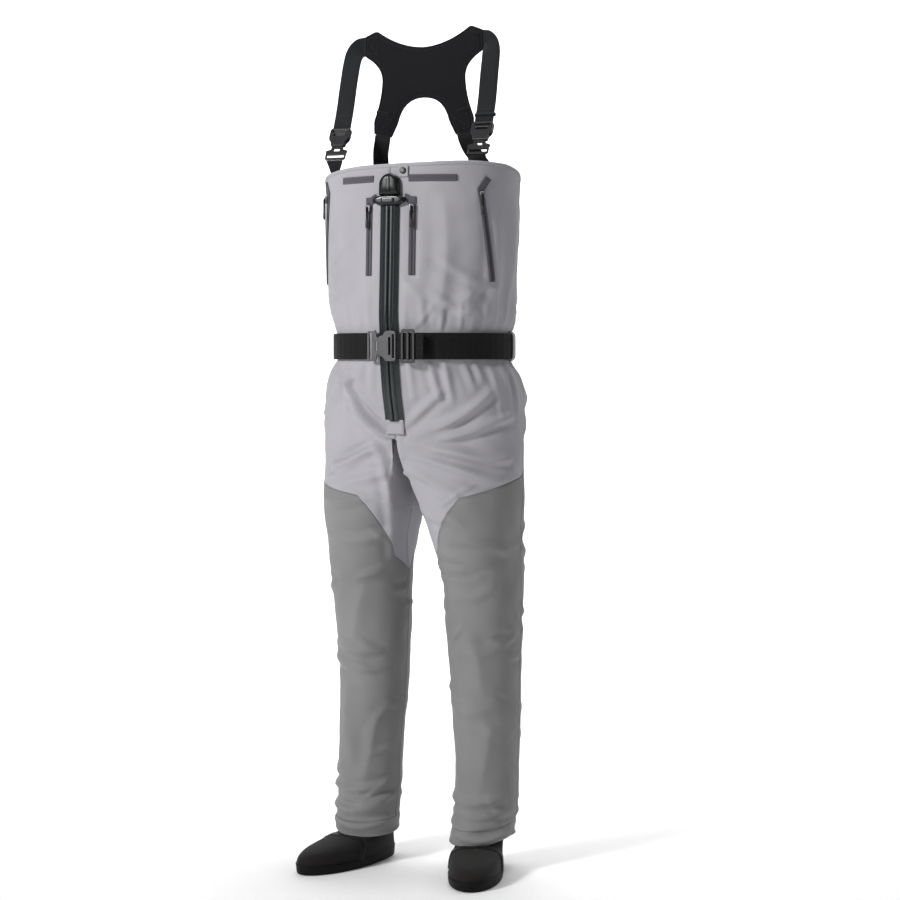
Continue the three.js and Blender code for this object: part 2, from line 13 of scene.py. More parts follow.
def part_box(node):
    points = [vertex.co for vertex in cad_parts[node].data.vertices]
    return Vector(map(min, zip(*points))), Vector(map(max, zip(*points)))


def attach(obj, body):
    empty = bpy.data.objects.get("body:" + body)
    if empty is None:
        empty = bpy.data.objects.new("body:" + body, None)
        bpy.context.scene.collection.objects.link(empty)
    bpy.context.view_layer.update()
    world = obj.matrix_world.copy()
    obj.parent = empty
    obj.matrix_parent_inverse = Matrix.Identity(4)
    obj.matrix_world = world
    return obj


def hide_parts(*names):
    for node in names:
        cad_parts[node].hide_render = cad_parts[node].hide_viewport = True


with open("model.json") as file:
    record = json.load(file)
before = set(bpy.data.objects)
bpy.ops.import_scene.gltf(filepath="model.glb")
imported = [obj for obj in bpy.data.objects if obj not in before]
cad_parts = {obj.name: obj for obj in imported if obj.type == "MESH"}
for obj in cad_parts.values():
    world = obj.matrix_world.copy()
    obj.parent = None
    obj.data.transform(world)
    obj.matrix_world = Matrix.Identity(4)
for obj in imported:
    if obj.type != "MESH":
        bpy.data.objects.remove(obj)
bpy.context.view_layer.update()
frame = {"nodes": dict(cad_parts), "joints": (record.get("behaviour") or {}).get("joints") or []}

bl_info = {
    "name": "Chest Waders",
    "version": (1, 0, 0),
    "blender": (4, 5, 0),
    "location": "3D View > Sidebar > Waders",
    "description": "Makes the sewn and moulded pieces of a pair of chest waders",
    "category": "Add Mesh",
}

MM = 0.001
ROOT = "waders"
SIDES = {"left": 1, "right": -1}


# ------------------------------------------------------------------ places taken from the frame
def corners(node):
    low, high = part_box(node)
    return np.array(low), np.array(high)


def centre(node):
    low, high = corners(node)
    return (low + high) / 2


def hinge_of(joint):
    """Place and direction of a hinge's axis."""
    found = [j for j in frame["joints"] if j["name"] == joint][0]
    axis = np.array(found["axis"], float)
    return np.array(found["pos_m"], float), axis / np.linalg.norm(axis)


YOKE_Y = 4.0
BODY_Y = centre("back_yoke")[1] / MM - YOKE_Y   # the garment's own middle plane, in millimetres
CROTCH_Z = 838.0
LEG_ROUND_Z = 660.0
RIM_FRONT_Z = 1363.0
RIM_DROP = 58.0
SIDE_SEAM = 95.0
HIP_TUCK = 11.0
INSEAM_X = 1.0
CUFF_LOW, CUFF_HIGH = corners("left_gravel_cuff")[0][2] / MM, corners("left_gravel_cuff")[1][2] / MM
BELT_Z = centre("belt_webbing")[2] / MM

# Height, half width, depth in front, depth behind
TORSO = np.array([
    [838, 205, 126, 122], [872, 207, 130, 126], [925, 205, 144, 130], [958, 195, 150, 127],
    [985, 178.5, 153.5, 119], [1014, 176, 155, 118], [1043, 178, 156, 119.5],
    [1070, 185, 158.6, 124], [1125, 190, 156.4, 128], [1200, 194, 153.3, 127],
    [1290, 197, 149.6, 125], [1375, 198, 146.2, 123],
])
# Height, centre X, centre Y, half width, half depth
LEG = np.array([
    [55, 122, 4, 60, 70], [80, 124, 8, 60, 70], [130, 126, 20, 61, 70], [200, 126, 27, 62.5, 72],
    [270, 123, 30, 64, 74], [340, 120.5, 32, 66, 76], [410, 120, 31, 69, 80],
    [480, 119, 27, 74, 85], [540, 119, 22, 76, 90], [594, 117, 16, 80, 97],
    [640, 112, 10, 87, 106], [700, 107, 4, 95, 118], [770, 106, 2, 98, 122],
    [838, 104, 0, 101, 122],
])
# Degrees round the rim, how far it lies above or below the even rim
RIM_DIP = np.array([[-180, 0], [-120, -6], [-80, -13], [-45, -12], [-20, -9], [0, -8], [20, -6], [45, 0],
                    [75, 6], [120, 3], [180, 0]])
# Degrees round the leg, height of the dark panels' top edge
PANEL_EDGE = {
    1: np.array([[-94, 575], [-41, 607], [8, 728], [14, 731], [119, 781], [180, 784], [190, 781],
                 [221, 650], [235, 615], [266, 575]]),
    -1: np.array([[-94, 578], [-58, 606], [-10, 729], [-4, 731], [119, 772], [180, 776], [190, 773],
                  [221, 645], [235, 612], [266, 578]]),
}
# Height, heel reach, toe reach, half width
BOOTIE = np.array([
    [12.4, 58, 203, 49], [20, 60, 205, 50], [30, 59, 200, 49.5], [39, 58, 184, 48.5],
    [46, 57.5, 152, 47], [52, 57, 112, 45.5], [58, 56, 72, 44.5], [68, 55, 62, 43.5],
    [90, 54, 57, 42.5], [125, 52, 53, 42.5], [162, 52, 51, 44],
])
# The cloth's grid: columns inside the crotch corners and outside them, rows of the body and of
# the thigh, shin and cuff
INNER_COLUMNS, OUTER_COLUMNS, TORSO_ROWS, LEG_ROWS = 16, 144, 126, (50, 132, 8)
# How far the inner side of the wearer's right thigh is drawn in, mm
INNER_TUCK = 15.0
# Folds: how much higher each is pressed than its table height, and the seed of the small random ones
FOLD_GAIN, FOLD_SEED = 1.65, 5
# How far the cloth may sink and rise on the legs before the last limits, and then on all of it, metres
LEG_SINK, LEG_RISE, SINK, RISE = 0.010, 0.013, 0.011, 0.014
SEAT_SEAM_TOP = 1300.0
BROKEN_EDGE = math.radians(35)
FOOT_X, FOOT_Y, FOOT_TURN = 118.0, 12.0, math.radians(16)


def along(table, at, column):
    """Smooth value of a column at a height, for arrays."""
    at = np.asarray(at, float)
    x, y = table[:, 0], table[:, column]
    i = np.clip(np.searchsorted(x, at) - 1, 0, len(x) - 2)
    slopes = np.empty(len(x))
    slopes[1:-1] = (y[2:] - y[:-2]) / (x[2:] - x[:-2])
    slopes[0] = (y[1] - y[0]) / (x[1] - x[0])
    slopes[-1] = (y[-1] - y[-2]) / (x[-1] - x[-2])
    step = x[i + 1] - x[i]
    s = np.clip((at - x[i]) / step, 0, 1)
    rise = y[i + 1] - y[i]
    start, end = slopes[i] * step - rise, rise - slopes[i + 1] * step
    return y[i] + s * rise + s * (1 - s) * ((1 - s) * start + s * end)


def placed(x, y, z):
    """Garment millimetres to frame metres."""
    x, y, z = np.broadcast_arrays(np.asarray(x, float), y, z)
    return np.stack([x, y + BODY_Y, z], -1) * MM


def on_torso(degrees, z, off=0.0):
    """Round the body: 0 degrees is the front, 90 the wearer's left; the right hip sits a little in."""
    angle = np.radians(degrees)
    depth = np.where(np.cos(angle) > 0, along(TORSO, z, 2), along(TORSO, z, 3)) + off
    waist = smoothstep(z, 850, 930) * (1 - smoothstep(z, 1040, 1110))
    tuck = HIP_TUCK * waist * np.maximum(-np.sin(angle), 0) ** 2
    return placed((along(TORSO, z, 1) + off - tuck) * np.sin(angle), -depth * np.cos(angle), z)


def torso_angle(x, z):
    return np.degrees(np.arcsin(x / along(TORSO, z, 1)))


def rim_height(degrees):
    """The sewn rim dips a little towards the wearer's right."""
    dip = np.interp(degrees, *RIM_DIP.T)
    return RIM_FRONT_Z + dip - RIM_DROP * ((1 - np.cos(np.radians(degrees))) / 2) ** 1.5


def smoothstep(x, low, high):
    s = np.clip((np.asarray(x, float) - low) / (high - low), 0, 1)
    return s * s * (3 - 2 * s)


def on_leg(degrees, z, off=0.0, side=1):
    """Angle 0 is the front and grows towards the outside."""
    sine, cosine = np.sin(np.radians(degrees)), np.cos(np.radians(degrees))
    x, y, half_width, half_depth = (along(LEG, z, c) for c in (1, 2, 3, 4))
    oval = 1 / np.hypot(sine / half_width, cosine / half_depth)
    _, wide, front, back = TORSO[0]
    depth = np.where(cosine > 0, front, back)
    a = (sine / wide) ** 2 + (cosine / depth) ** 2
    b = x * sine / wide ** 2
    top = (-b + np.sqrt(b * b - a * ((x / wide) ** 2 - 1))) / a
    wall = np.where(sine < -1e-6, (INSEAM_X - x) / np.minimum(sine, -1e-6), 1e6)
    flat = smoothstep(z, LEG_ROUND_Z, CROTCH_Z)
    reach = oval + (np.minimum(top, wall) - oval) * flat + off
    return placed(side * (x + reach * sine), y - reach * cosine, z)


def on_foot(angle, z, inset=0.0, side=1):
    """Round the bootie: angle 0 is the toe, and inset draws the outline in by millimetres."""
    heel, toe, half = (along(BOOTIE, z, c) - inset for c in (1, 2, 3))
    ahead = (toe - heel) / 2 + np.cos(angle) * (toe + heel) / 2
    aside = np.sin(angle) * half * (1 + 0.1 * np.cos(angle))
    sine, cosine = math.sin(FOOT_TURN), math.cos(FOOT_TURN)
    return placed(side * (FOOT_X + ahead * sine + aside * cosine),
                  FOOT_Y - ahead * cosine + aside * sine, z)


# ------------------------------------------------------------------ mesh helpers
def make_object(name, vertices, faces, material, uvs=None):
    mesh = bpy.data.meshes.new(name)
    mesh.from_pydata([tuple(v) for v in vertices], [], [tuple(f) for f in faces])
    if uvs is not None:
        layer = mesh.uv_layers.new(name="cloth")
        index = np.empty(len(mesh.loops), np.int32)
        mesh.loops.foreach_get("vertex_index", index)
        layer.data.foreach_set("uv", np.asarray(uvs, float)[index].ravel())
    mesh.polygons.foreach_set("use_smooth", [True] * len(mesh.polygons))
    mesh.update()
    mesh.validate()
    obj = bpy.data.objects.new(name, mesh)
    bpy.context.scene.collection.objects.link(obj)
    obj.data.materials.append(material)
    return obj


def outward(obj):
    """Doubles merged and faces turned out."""
    shape = bmesh.new()
    shape.from_mesh(obj.data)
    bmesh.ops.remove_doubles(shape, verts=shape.verts, dist=1e-6)
    bmesh.ops.recalc_face_normals(shape, faces=shape.faces)
    shape.to_mesh(obj.data)
    shape.free()
    return obj


def grid_faces(rows, columns, wrap=False):
    r, c = np.meshgrid(np.arange(rows - 1), np.arange(columns if wrap else columns - 1), indexing="ij")
    n = (c + 1) % columns
    return np.stack([r * columns + c, r * columns + n, (r + 1) * columns + n, (r + 1) * columns + c],
                    -1).reshape(-1, 4)


def unit(vectors):
    return vectors / np.linalg.norm(vectors, axis=-1)[..., None]


def tangents(points):
    return unit(np.gradient(points, axis=0))


def resampled(at, run, rows):
    """Rows of three values taken at new lengths along a line whose marks lie at run."""
    return np.stack([np.interp(at, run, rows[:, k]) for k in range(3)], -1)


def lengths(points):
    """How far along a line each of its points lies."""
    steps = np.linalg.norm(np.diff(points, axis=0), axis=1)
    return np.concatenate([[0], np.cumsum(steps)])


def capped(name, rings, material, uvs, closed_path=False):
    """A closed body from rings of places: the end rings are filled, or joined if the path is closed."""
    rows, columns = rings.shape[:2]
    faces = grid_faces(rows, columns, wrap=True).tolist()
    last = (rows - 1) * columns
    if closed_path:
        faces += [[last + c, last + (c + 1) % columns, (c + 1) % columns, c] for c in range(columns)]
    else:
        faces += [list(range(columns))[::-1], [last + c for c in range(columns)]]
    return outward(make_object(name, rings.reshape(-1, 3), faces, material, uvs))


def sweep(name, path, profile, material, closed_path=False):
    """A closed cross-section carried along a path.

    path is the arrays (places, across, out), and profile a list of (across, out) offsets, all in metres.
    """
    place, across, out = (np.asarray(a, float) for a in path)
    profile = np.asarray(profile, float)
    rings = place[:, None] + profile[None, :, :1] * across[:, None] + profile[None, :, 1:] * out[:, None]
    rows, columns = rings.shape[:2]
    run = np.repeat(lengths(place), columns)
    uvs = np.stack([np.tile(lengths(profile), rows), run], -1)
    return capped(name, rings, material, uvs, closed_path)


def webbing_section(width, thick, bulge=0.25):
    """Section of tape or webbing in metres, from millimetres: flat faces and rounded edges."""
    half, deep = width / 2, thick / 2
    turn = np.linspace(-math.pi / 2, math.pi / 2, 5)
    right = [(half - deep + deep * math.cos(t), deep * math.sin(t)) for t in turn]
    middle = [(half * f, deep * (1 + bulge * (1 - f * f))) for f in (0.55, 0.2, -0.2, -0.55)]
    left = [(-x, -y) for x, y in right]
    bottom = [(-x, -y) for x, y in middle]
    return np.array(right + middle + left + bottom) * MM


def moulded_copy(node, name, material, body, slot, bevel, segments):
    """The moulded piece of a node, with its edges broken, on a body; slot is not used."""
    mesh = frame["nodes"][node].data.copy()
    obj = bpy.data.objects.new(name, mesh)
    bpy.context.scene.collection.objects.link(obj)
    shape = bmesh.new()
    shape.from_mesh(mesh)
    bmesh.ops.remove_doubles(shape, verts=shape.verts, dist=1e-6)
    bmesh.ops.dissolve_limit(shape, angle_limit=math.radians(2), verts=shape.verts, edges=shape.edges)
    shape.to_mesh(mesh)
    shape.free()
    mesh.materials.clear()
    mesh.materials.append(material)
    mesh.polygons.foreach_set("use_smooth", [False] * len(mesh.polygons))
    edges = obj.modifiers.new("edges", "BEVEL")
    edges.width, edges.segments, edges.limit_method = bevel, segments, "ANGLE"
    edges.angle_limit = BROKEN_EDGE
    edges.harden_normals = False
    return finish(obj, body, slot, node)


def finish(obj, body, slot, *nodes):
    name = obj.name.replace(" ", "_")
    other = bpy.data.objects.get(name)
    obj.name = name if other in (None, obj) else f"shown_{name}"
    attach(obj, body)
    if nodes:
        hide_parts(*nodes)
    return obj


# ------------------------------------------------------------------ materials
def nodes_of(name, colour, roughness, metallic=0.0, sheen=0.0, coat=0.0, gloss=0.5):
    material = bpy.data.materials.new(name)
    material.use_nodes = True
    tree = material.node_tree
    shader = tree.nodes["Principled BSDF"]
    shader.inputs["Base Color"].default_value = (*colour, 1)
    shader.inputs["Roughness"].default_value = roughness
    shader.inputs["Metallic"].default_value = metallic
    shader.inputs["Sheen Weight"].default_value = sheen
    shader.inputs["Coat Weight"].default_value = coat
    shader.inputs["Specular IOR Level"].default_value = gloss
    return material, tree, shader


def add_node(tree, kind, **values):
    node = tree.nodes.new(kind)
    for key, value in values.items():
        if key in node.inputs:
            node.inputs[key].default_value = value
        else:
            setattr(node, key, value)
    return node


def noise(tree, vector, scale, detail=3.0):
    node = add_node(tree, "ShaderNodeTexNoise", Scale=scale, Detail=detail, Roughness=0.55)
    tree.links.new(vector, node.inputs["Vector"])
    return node.outputs["Fac"]


def ramp(tree, factor, stops):
    node = tree.nodes.new("ShaderNodeValToRGB")
    while len(node.color_ramp.elements) < len(stops):
        node.color_ramp.elements.new(0.5)
    for element, (place, colour) in zip(node.color_ramp.elements, stops):
        element.position = place
        element.color = (*colour, 1)
    tree.links.new(factor, node.inputs["Fac"])
    return node.outputs["Color"]


def maths(tree, operation, a, b):
    node = tree.nodes.new("ShaderNodeMath")
    node.operation = operation
    for socket, value in zip(node.inputs, (a, b)):
        if isinstance(value, (int, float)):
            socket.default_value = value
        else:
            tree.links.new(value, socket)
    return node.outputs[0]


def bump(tree, shader, height, distance, strength=1.0, chain=None):
    node = add_node(tree, "ShaderNodeBump", Distance=distance, Strength=strength)
    tree.links.new(height, node.inputs["Height"])
    if chain is not None:
        tree.links.new(chain, node.inputs["Normal"])
    tree.links.new(node.outputs["Normal"], shader.inputs["Normal"])
    return node.outputs["Normal"]


def shade(colour, factor):
    return tuple(min(1.0, c * factor) for c in colour)


def woven(name, colour, thread=0.0007, roughness=0.8, sheen=0.15, spread=0.1, relief=0.00012, ribs=None):
    """Cloth whose threads follow the piece's own cloth map, with soft colour drift."""
    material, tree, shader = nodes_of(name, colour, roughness, sheen=sheen, gloss=0.16)
    where = tree.nodes.new("ShaderNodeTexCoord")
    cloth = where.outputs["UV"]
    scale = 0.5 / thread / 10
    waves = []
    for direction in ("X", "Y"):
        wave = add_node(tree, "ShaderNodeTexWave", Scale=scale, bands_direction=direction)
        tree.links.new(cloth, wave.inputs["Vector"])
        waves.append(wave.outputs["Fac"])
    weave = maths(tree, "MULTIPLY", waves[0], waves[1])
    drift = noise(tree, where.outputs["Object"], 9.0)
    grain = noise(tree, where.outputs["Object"], 900.0, 2.0)
    mixed = maths(tree, "ADD", maths(tree, "MULTIPLY", drift, 0.75), maths(tree, "MULTIPLY", grain, 0.25))
    mixed = maths(tree, "ADD", mixed, maths(tree, "MULTIPLY", weave, 0.08))
    stops = [(0.3, shade(colour, 1 - spread)), (0.72, shade(colour, 1 + spread))]
    tree.links.new(ramp(tree, mixed, stops), shader.inputs["Base Color"])
    rough = maths(tree, "ADD", maths(tree, "MULTIPLY", drift, 0.12), roughness - 0.06)
    tree.links.new(rough, shader.inputs["Roughness"])
    chain = bump(tree, shader, weave, relief, 0.6)
    if ribs:
        rib = add_node(tree, "ShaderNodeTexWave", Scale=0.5 / ribs / 10, bands_direction="Y")
        tree.links.new(cloth, rib.inputs["Vector"])
        chain = bump(tree, shader, rib.outputs["Fac"], 0.0005, 0.8, chain)
    bump(tree, shader, noise(tree, where.outputs["Object"], 160.0, 4.0), 0.0004, 0.35, chain)
    return material


def moulded(name, colour, roughness, grain=1400.0, relief=0.00006, coat=0.0, metallic=0.0, gloss=0.5):
    """Moulded plastic, rubber or plated metal with fine grain and soft random colour drift."""
    material, tree, shader = nodes_of(name, colour, roughness, metallic, coat=coat, gloss=gloss)
    where = tree.nodes.new("ShaderNodeTexCoord").outputs["Object"]
    drift = noise(tree, where, 60.0, 4.0)
    stops = [(0.35, shade(colour, 0.88)), (0.68, shade(colour, 1.12))]
    tree.links.new(ramp(tree, drift, stops), shader.inputs["Base Color"])
    rough = maths(tree, "ADD", maths(tree, "MULTIPLY", noise(tree, where, 300.0), 0.2), roughness - 0.1)
    tree.links.new(rough, shader.inputs["Roughness"])
    bump(tree, shader, noise(tree, where, grain, 2.0), relief, 0.35)
    return material


class Finishes:
    """All finishes of the waders, made once from the colour settings."""

    def __init__(self, colours):
        light, dark, trim = colours.light, colours.dark, colours.trim
        self.light = woven("light laminate", light, 0.0008, 0.72, 0.1, 0.07)
        self.dark = woven("dark laminate", dark, 0.0009, 0.74, 0.12, 0.1)
        self.trim = woven("grey tape", trim, 0.0006, 0.7, 0.1, 0.12)
        self.black = woven("black webbing", colours.webbing, 0.0016, 0.7, 0.05, 0.3, 0.0003)
        self.slate = woven("slate elastic", colours.elastic, 0.0012, 0.75, 0.25, 0.2, 0.0002)
        self.belt = woven("belt elastic", colours.webbing, 0.0014, 0.7, 0.04, 0.3, 0.0003, ribs=0.0028)
        self.neoprene = woven("black neoprene", colours.neoprene, 0.0006, 0.85, 0.08, 0.2)
        self.sock = woven("charcoal neoprene", colours.sock, 0.0007, 0.85, 0.08, 0.25)
        self.binding = woven("binding", shade(colours.neoprene, 0.7), 0.0007, 0.8, 0.2, 0.2)
        self.lining = woven("lining", shade(dark, 0.35), 0.0009, 0.8, 0.1, 0.1)
        self.seam = woven("light seam", shade(light, 0.93), 0.0006, 0.75, 0.1, 0.06)
        self.dark_hem = woven("dark hem", shade(dark, 0.95), 0.0008, 0.75, 0.1, 0.08)
        self.grey_thread = woven("grey thread", shade(dark, 0.88), 0.0003, 0.7, 0.2, 0.1)
        self.band = woven("glossy band", shade(colours.sock, 0.16), 0.0007, 0.5, 0.05, 0.1)
        self.thread = woven("light thread", shade(light, 0.82), 0.0003, 0.7, 0.2, 0.1)
        self.dark_thread = woven("dark thread", shade(colours.neoprene, 2.6), 0.0003, 0.6, 0.2, 0.2)
        self.sole = moulded("sole rubber", (0.0035, 0.0035, 0.0035), 0.6, 500.0, 0.0002, gloss=0.14)
        self.coating = moulded("zip coating", (0.0095, 0.0148, 0.0165), 0.36, 200.0, 0.00004, coat=0.3)
        self.mould = moulded("zip mouldings", (0.003, 0.0045, 0.005), 0.36, 260.0, coat=0.1, gloss=0.3)
        self.buckle = moulded("buckle plastic", (0.022, 0.022, 0.024), 0.36)
        self.light_cap = moulded("snap centre", (0.16, 0.16, 0.165), 0.35)
        self.belt_frame = moulded("adjuster plastic", (0.02, 0.02, 0.021), 0.42)
        self.belt_buckle = moulded("belt buckle plastic", (0.070, 0.070, 0.075), 0.42)
        self.metal = moulded("slider metal", (0.17, 0.17, 0.175), 0.38, 500.0, 0.00005, metallic=1.0)
        self.grip = moulded("pull rubber", (0.012, 0.012, 0.013), 0.55, 1200.0, 0.0001)
        self.snap = moulded("snap", (0.010, 0.010, 0.011), 0.35)


FINISH = {}


def finishes():
    if "all" not in FINISH:
        FINISH["all"] = Finishes(bpy.context.scene.waders_colours)
    return FINISH["all"]


# ------------------------------------------------------------------ repeated stitches and teeth
def repeat_tree():
    """Geometry Nodes: one small body at every pitch along a path, turned to the path."""
    if "waders repeat" in bpy.data.node_groups:
        return bpy.data.node_groups["waders repeat"]
    tree = bpy.data.node_groups.new("waders repeat", "GeometryNodeTree")
    face = tree.interface
    face.new_socket("Geometry", in_out="INPUT", socket_type="NodeSocketGeometry")
    for name in ("Pitch", "Length", "Width", "Height"):
        face.new_socket(name, in_out="INPUT", socket_type="NodeSocketFloat")
    face.new_socket("Material", in_out="INPUT", socket_type="NodeSocketMaterial")
    face.new_socket("Geometry", in_out="OUTPUT", socket_type="NodeSocketGeometry")
    start = tree.nodes.new("NodeGroupInput")
    end = tree.nodes.new("NodeGroupOutput")
    curve = tree.nodes.new("GeometryNodeMeshToCurve")
    sample = tree.nodes.new("GeometryNodeResampleCurve")
    sample.mode = "LENGTH"
    body = tree.nodes.new("GeometryNodeMeshUVSphere")
    body.inputs["Segments"].default_value = 6
    body.inputs["Rings"].default_value = 4
    body.inputs["Radius"].default_value = 0.5
    size = tree.nodes.new("ShaderNodeCombineXYZ")
    tangent = tree.nodes.new("GeometryNodeInputTangent")
    align = tree.nodes.new("FunctionNodeAlignRotationToVector")
    align.axis = "Z"
    place = tree.nodes.new("GeometryNodeInstanceOnPoints")
    real = tree.nodes.new("GeometryNodeRealizeInstances")
    paint = tree.nodes.new("GeometryNodeSetMaterial")
    link = tree.links.new
    link(start.outputs["Geometry"], curve.inputs["Mesh"])
    link(curve.outputs["Curve"], sample.inputs["Curve"])
    link(start.outputs["Pitch"], sample.inputs["Length"])
    link(start.outputs["Width"], size.inputs["X"])
    link(start.outputs["Height"], size.inputs["Y"])
    link(start.outputs["Length"], size.inputs["Z"])
    link(tangent.outputs[0], align.inputs["Vector"])
    link(sample.outputs["Curve"], place.inputs["Points"])
    link(body.outputs["Mesh"], place.inputs["Instance"])
    link(align.outputs["Rotation"], place.inputs["Rotation"])
    link(size.outputs["Vector"], place.inputs["Scale"])
    link(place.outputs["Instances"], real.inputs["Geometry"])
    link(real.outputs["Geometry"], paint.inputs["Geometry"])
    link(start.outputs["Material"], paint.inputs["Material"])
    link(paint.outputs["Geometry"], end.inputs["Geometry"])
    return tree


def repeated(name, paths, pitch, size, material):
    """Bodies of the given (length, width, height) along open paths, as one plain mesh."""
    vertices, edges = [], []
    for path in paths:
        first = len(vertices)
        vertices += [tuple(p) for p in path]
        edges += [(first + i, first + i + 1) for i in range(len(path) - 1)]
    mesh = bpy.data.meshes.new(name + " path")
    mesh.from_pydata(vertices, edges, [])
    guide = bpy.data.objects.new(name + " path", mesh)
    bpy.context.scene.collection.objects.link(guide)
    tree = repeat_tree()
    mod = guide.modifiers.new("repeat", "NODES")
    mod.node_group = tree
    sockets = {s.name: s.identifier for s in tree.interface.items_tree
               if s.item_type == "SOCKET" and s.in_out == "INPUT"}
    values = {"Pitch": pitch, "Length": size[0], "Width": size[1], "Height": size[2], "Material": material}
    for key, value in values.items():
        mod[sockets[key]] = value
    graph = bpy.context.evaluated_depsgraph_get()
    graph.update()
    plain = bpy.data.meshes.new_from_object(guide.evaluated_get(graph), depsgraph=graph)
    bpy.data.objects.remove(guide)
    obj = bpy.data.objects.new(name, plain)
    bpy.context.scene.collection.objects.link(obj)
    plain.polygons.foreach_set("use_smooth", [True] * len(plain.polygons))
    if not len(plain.materials):
        plain.materials.append(material)
    return obj


def stitches(name, paths, material, body=ROOT, slot="shell_light", pitch=3.6):
    obj = repeated(name, paths, pitch * MM, (2.6 * MM, 0.8 * MM, 0.7 * MM), material)
    return finish(obj, body, slot)


# ------------------------------------------------------------------ folds
def noise_field(points, scale, seed):
    shift = Vector((seed * 7.1, seed * 3.3, seed * 5.7))
    return np.array([vector_noise.noise(Vector(p) * scale + shift) for p in points])


class Fold:
    """A ridge with a hollow beside it, pressed into cloth along a line of places in metres."""

    def __init__(self, line, height, width, hollow=0.7, side=0, taper=0.6):
        self.line = np.asarray(line, float)
        self.height, self.width = height * FOLD_GAIN, width
        self.hollow, self.side, self.taper = hollow, side, taper

    def lift(self, points, normals):
        reach = self.width * MM
        low, high = self.line.min(0) - 5 * reach, self.line.max(0) + 5 * reach
        near = np.where(((points > low) & (points < high)).all(1))[0]
        result = np.zeros(len(points))
        if not len(near):
            return result
        p, n = points[near], normals[near]
        a, b = self.line[:-1], self.line[1:]
        d = b - a
        size = (d * d).sum(1)
        s = np.clip(np.einsum("psk,sk->ps", p[:, None] - a[None], d) / size, 0, 1)
        away = p[:, None] - (a[None] + s[..., None] * d[None])
        gap = np.linalg.norm(away, axis=2)
        best = gap.argmin(1)
        rows = np.arange(len(near))
        away, s = away[rows, best], s[rows, best]
        tangent = d[best] / np.sqrt(size[best])[:, None]
        sideways = np.cross(tangent, n)
        across = (away * sideways).sum(1)
        beyond = np.sqrt(np.maximum((away ** 2).sum(1) - across ** 2 - (away * n).sum(1) ** 2, 0))
        run = lengths(self.line)
        u = (run[best] + s * np.sqrt(size[best])) / run[-1]
        ends = np.clip(4 * u * (1 - u), 0, 1) ** self.taper
        c = across / reach
        shape = np.exp(-np.abs(c) ** 1.5)
        shape -= self.hollow * np.exp(-((np.abs(c) - 1.7) / 0.9) ** 2) * np.where(c > 0, 1, 0.35)
        result[near] = self.height * MM * shape * ends * np.exp(-(beyond / reach) ** 2)
        if self.side:
            result[near] *= (np.sign(p[:, 0]) == self.side) | (np.abs(p[:, 0]) < 0.002)
        return result


def curve_through(places, count=14):
    """A smooth line through places, for folds and paths."""
    p = np.asarray(places, float)
    if len(p) < 3:
        return p[0] + np.linspace(0, 1, count)[:, None] * (p[-1] - p[0])
    run = lengths(p)
    at = np.linspace(0, run[-1], count * (len(p) - 1))
    ext = np.vstack([2 * p[0] - p[1], p, 2 * p[-1] - p[-2]])
    out = []
    for t in at:
        i = min(np.searchsorted(run, t, side="right") - 1, len(p) - 2)
        s = (t - run[i]) / (run[i + 1] - run[i])
        a, b, c, d = ext[i:i + 4]
        squared, cubed = 2 * a - 5 * b + 4 * c - d, 3 * b - a - 3 * c + d
        out.append(0.5 * (2 * b + (c - a) * s + squared * s * s + cubed * s ** 3))
    return np.array(out)


def torso_line(*spots):
    """Spots are (degrees, height); negative degrees are the wearer's right."""
    return curve_through([on_torso(d, z) for d, z in spots])


def leg_line(side, *spots):
    return curve_through([on_leg(d, z, 0.0, side) for d, z in spots])


